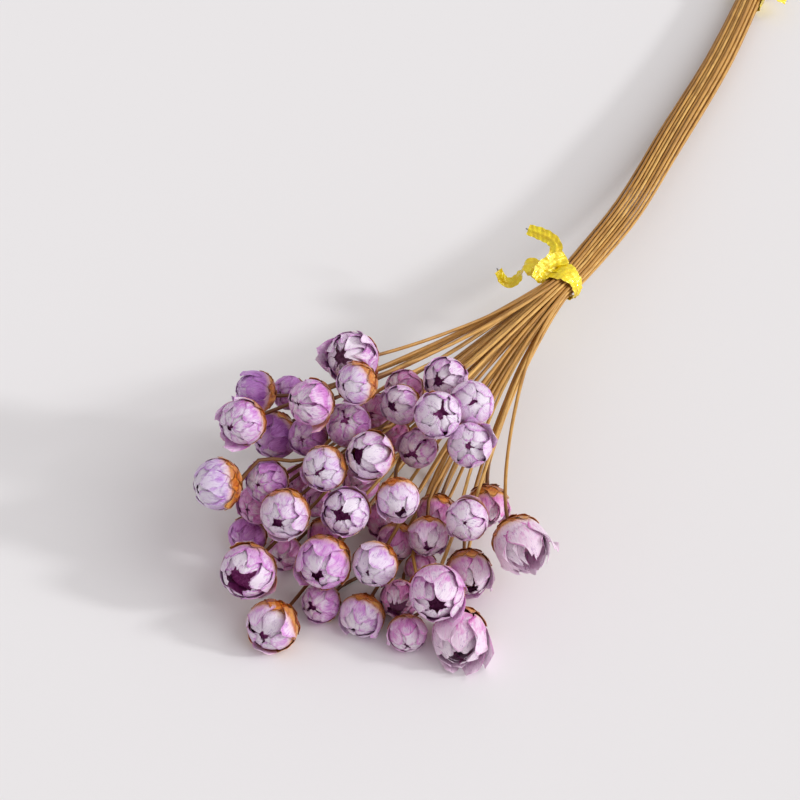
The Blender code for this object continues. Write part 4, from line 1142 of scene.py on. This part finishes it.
def twist_tie(name, y, swing, slack, ends, seed):
    """A foil strip wound twice round the stems, crumpled and widest by the
    twist that closes it, with its two loose ends folded about. `slack` is how
    far it stands off on the far side; each end is a list of points across,
    along and up, with the half-width there and the direction of the width."""
    rng = np.random.default_rng(seed)
    t, side, norm = spine_frame(y)
    c = spine(y)
    r = band_radius()

    def at(p):
        return side * p[0] + t * p[1] + norm * p[2]
    parts = []
    count = 110
    q = np.linspace(0.0, 1.0, count)
    angs = swing - 0.35 - q * (4.0 * math.pi - 0.5)
    near = 0.5 + 0.5 * np.cos(angs - swing + 0.55)
    far = np.maximum(0.0, np.cos(angs - swing + 0.15 - math.pi)) ** 6
    rads = r + 0.20 + 0.12 * q + 0.07 * np.sin(angs * 2.3 + seed) * (0.4 + near) + slack * far * q
    offs = (-1.45 + 2.9 * q) * (0.50 + 0.65 * near)
    line = np.array([c + (side * math.cos(a) + norm * math.sin(a)) * rr + t * o for a, rr, o in zip(angs, rads, offs)])
    line = smooth_line(line[::2], 0.20)
    near = np.interp(np.linspace(0.0, 1.0, len(line)), q, near)
    parts.append(strip(line, np.tile(t, (len(line), 1)), 0.62 + 1.15 * near, rng, 0.11, seed + 1.0))
    # the twist: two narrow folds wound round each other
    out = side * math.cos(swing) + norm * math.sin(swing)
    across = -side * math.sin(swing) + norm * math.cos(swing)
    for e, sign in enumerate((1.0, -1.0)):
        w = np.linspace(0.0, 1.0, 24)
        turn = w * 2.2 * math.pi
        wind = t * np.cos(turn)[:, None] + across * np.sin(turn)[:, None]
        face = -t * np.sin(turn)[:, None] + across * np.cos(turn)[:, None]
        core = c + out * (r + 0.15 + 2.1 * w)[:, None] + sign * wind * (0.60 - 0.16 * w)[:, None]
        parts.append(strip(core, face, 0.92 - 0.16 * w, rng, 0.08, seed + 2.0 + e))
    for e, end in enumerate(ends):
        pts = c + np.array([at(p[0]) for p in end])
        wides = np.array([at(p[2]) for p in end])
        widths = np.array([p[1] for p in end])
        fine = smooth_line(pts, 0.17)
        step = np.sqrt(((pts[1:] - pts[:-1]) ** 2).sum(1))
        steps = np.array([max(2, int(round(x / 0.17))) for x in step])
        k = np.concatenate([np.repeat(np.arange(len(steps)), steps)
                            + np.concatenate([np.arange(x) / x for x in steps]), [len(steps)]])
        wides = np.array([np.interp(k, np.arange(len(end)), wides[:, d]) for d in range(3)]).T
        widths = np.interp(k, np.arange(len(end)), widths)
        parts.append(strip(fine, wides, widths, rng, 0.10, seed + 4.0 + e))
        d = unit(fine[-1] - fine[-3])
        bent = norm * 0.05
        if e < 2:
            parts.append(rod(np.array([fine[-1] - d * 0.5, fine[-1], fine[-1] + d * 0.30, fine[-1] + d * 0.45 + bent]), 0.12))
    co, faces3, faces4, place, edge, index4, index3, rims = [], [], [], [], [], [], [], []
    start = 0
    for p in parts:
        if len(p) == 5:
            co.append(p[0]), faces4.append(p[1] + start), place.append(p[2]), edge.append(p[3]), rims.append(p[4])
            index4.append(np.zeros(len(p[1])))
        else:
            co.append(p[0]), faces4.append(p[1] + start), faces3.append(p[2] + start)
            place.append(p[0]), edge.append(np.ones(len(p[0]))), rims.append(np.zeros(len(p[0]), np.int32))
            index4.append(np.ones(len(p[1]))), index3.append(np.ones(len(p[2])))
        start += len(p[0])
    co = np.concatenate(co)
    k = 0.05
    x = (co[:, 2] - 0.02) / k
    co[:, 2] = np.where(x > 8.0, co[:, 2], 0.02 + k * np.logaddexp(0.0, x))
    faces = [np.concatenate(faces4), np.concatenate(faces3)]
    index = np.concatenate(index4 + index3)
    return make(name, co + SHIFT, faces, {"place": np.concatenate(place), "edge": np.concatenate(edge)},
                [FOIL, WIRE], index, np.concatenate(rims))


ALONG, UPRIGHT, SIDEWAYS = (-0.05, 0.97, 0.22), (-0.34, 0.68, 0.65), (0.85, 0.45, 0.10)
TIES = [
    ("front_tie", FRONT_Y, math.radians(172.0), 0.25, [
        [((-1.6, 0.3, 2.9), 1.80, ALONG), ((-2.6, 1.2, 3.1), 1.60, SIDEWAYS), ((-3.6, 2.3, 3.8), 1.20, SIDEWAYS),
         ((-4.3, 3.4, 4.2), 1.10, (0.6, 0.6, 0.4)), ((-5.6, 3.9, 4.6), 1.15, UPRIGHT),
         ((-7.8, 3.8, 4.8), 1.15, UPRIGHT), ((-10.2, 3.4, 4.8), 1.00, UPRIGHT)],
        [((-2.2, -0.2, -0.4), 1.90, ALONG), ((-4.0, -0.4, 0.4), 2.10, ALONG), ((-6.4, -1.0, 1.1), 2.00, ALONG),
         ((-7.4, -1.4, 0.9), 1.50, ALONG), ((-7.6, -1.9, -0.8), 1.10, UPRIGHT), ((-8.6, -2.7, -2.6), 0.95, UPRIGHT),
         ((-9.8, -3.3, -2.7), 0.95, UPRIGHT), ((-11.4, -3.4, -1.0), 0.85, UPRIGHT)],
        [((-3.6, -4.2, 1.6), 0.90, (0.75, 0.25, -0.60)), ((-3.5, -2.2, 2.2), 1.55, (0.75, 0.25, -0.60)),
         ((-2.8, 0.2, 3.1), 1.65, (0.80, 0.25, -0.50)), ((-1.6, 2.6, 3.5), 1.15, (0.90, 0.20, -0.30))]], 31),
    ("rear_tie", REAR_Y, math.radians(32.0), 0.30, [
        [((2.4, -0.4, 1.5), 1.30, ALONG), ((3.6, -1.0, 2.5), 1.20, ALONG), ((5.0, -1.4, 2.5), 1.10, UPRIGHT),
         ((6.4, -1.2, 1.6), 1.05, UPRIGHT), ((7.4, -0.6, 0.8), 0.95, UPRIGHT)],
        [((2.4, 0.4, 1.5), 1.20, ALONG), ((3.2, 1.4, 2.7), 1.10, SIDEWAYS), ((3.4, 2.8, 3.3), 1.00, SIDEWAYS),
         ((4.2, 4.0, 3.0), 1.00, SIDEWAYS), ((5.4, 4.6, 2.4), 0.95, UPRIGHT)]], 47),
]


# --------------------------------------------------------------------- build
pos, rad, axes = place_buds()
lines = lay_stems(pos, rad, axes)
paths = [smooth_line(line, 3.0) for line in lines]
R = rad / 0.965
for i in range(len(FLOWERS)):
    node = "flower_%02d" % (i + 1)
    petals, scales = bud(i, pos, R, axes, paths)
    stalk = stem(i, lines[i], R[i])
    for piece, kind in ((petals, "bract"), (scales, "calyx"), (stalk, "stem")):
        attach(piece, "root")
        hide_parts(node)
for name, y, swing, slack, ends, seed in TIES:
    piece = twist_tie(name + "_foil", y, swing, slack, ends, seed)
    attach(piece, "root")
    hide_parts(name)

# --------------------------------------------------------------------- stage
mesh = bpy.data.meshes.new("floor")
mesh.from_pydata([(-3.0, -3.0, 0.0), (3.0, -3.0, 0.0), (3.0, 3.0, 0.0), (-3.0, 3.0, 0.0)], [], [(0, 1, 2, 3)])
floor = bpy.data.objects.new("floor", mesh)
bpy.context.scene.collection.objects.link(floor)
look = Look("pale_floor")
look.set("Base Color", (0.83, 0.815, 0.825))
look.set("Roughness", 0.9)
look.set("Specular IOR Level", 0.2)
mesh.materials.append(look.mat)

world = bpy.data.worlds.new("studio")
world.use_nodes = True
world.node_tree.nodes["Background"].inputs[0].default_value = (1.0, 0.970, 0.965, 1.0)
world.node_tree.nodes["Background"].inputs[1].default_value = 0.56
bpy.context.scene.world = world


def sun(name, toward, strength, angle, colour):
    data = bpy.data.lights.new(name, "SUN")
    data.energy = strength
    data.angle = angle
    data.color = colour
    obj = bpy.data.objects.new(name, data)
    obj.rotation_mode = "QUATERNION"
    obj.rotation_quaternion = Vector(toward).to_track_quat("Z", "Y")
    bpy.context.scene.collection.objects.link(obj)


sun("key", (0.88, 0.28, 0.38), 1.25, 0.10, (0.985, 0.995, 1.0))
sun("soft", (0.69, 0.18, 0.70), 1.25, 0.90, (0.985, 0.995, 1.0))
bpy.context.scene.view_settings.view_transform = "Standard"
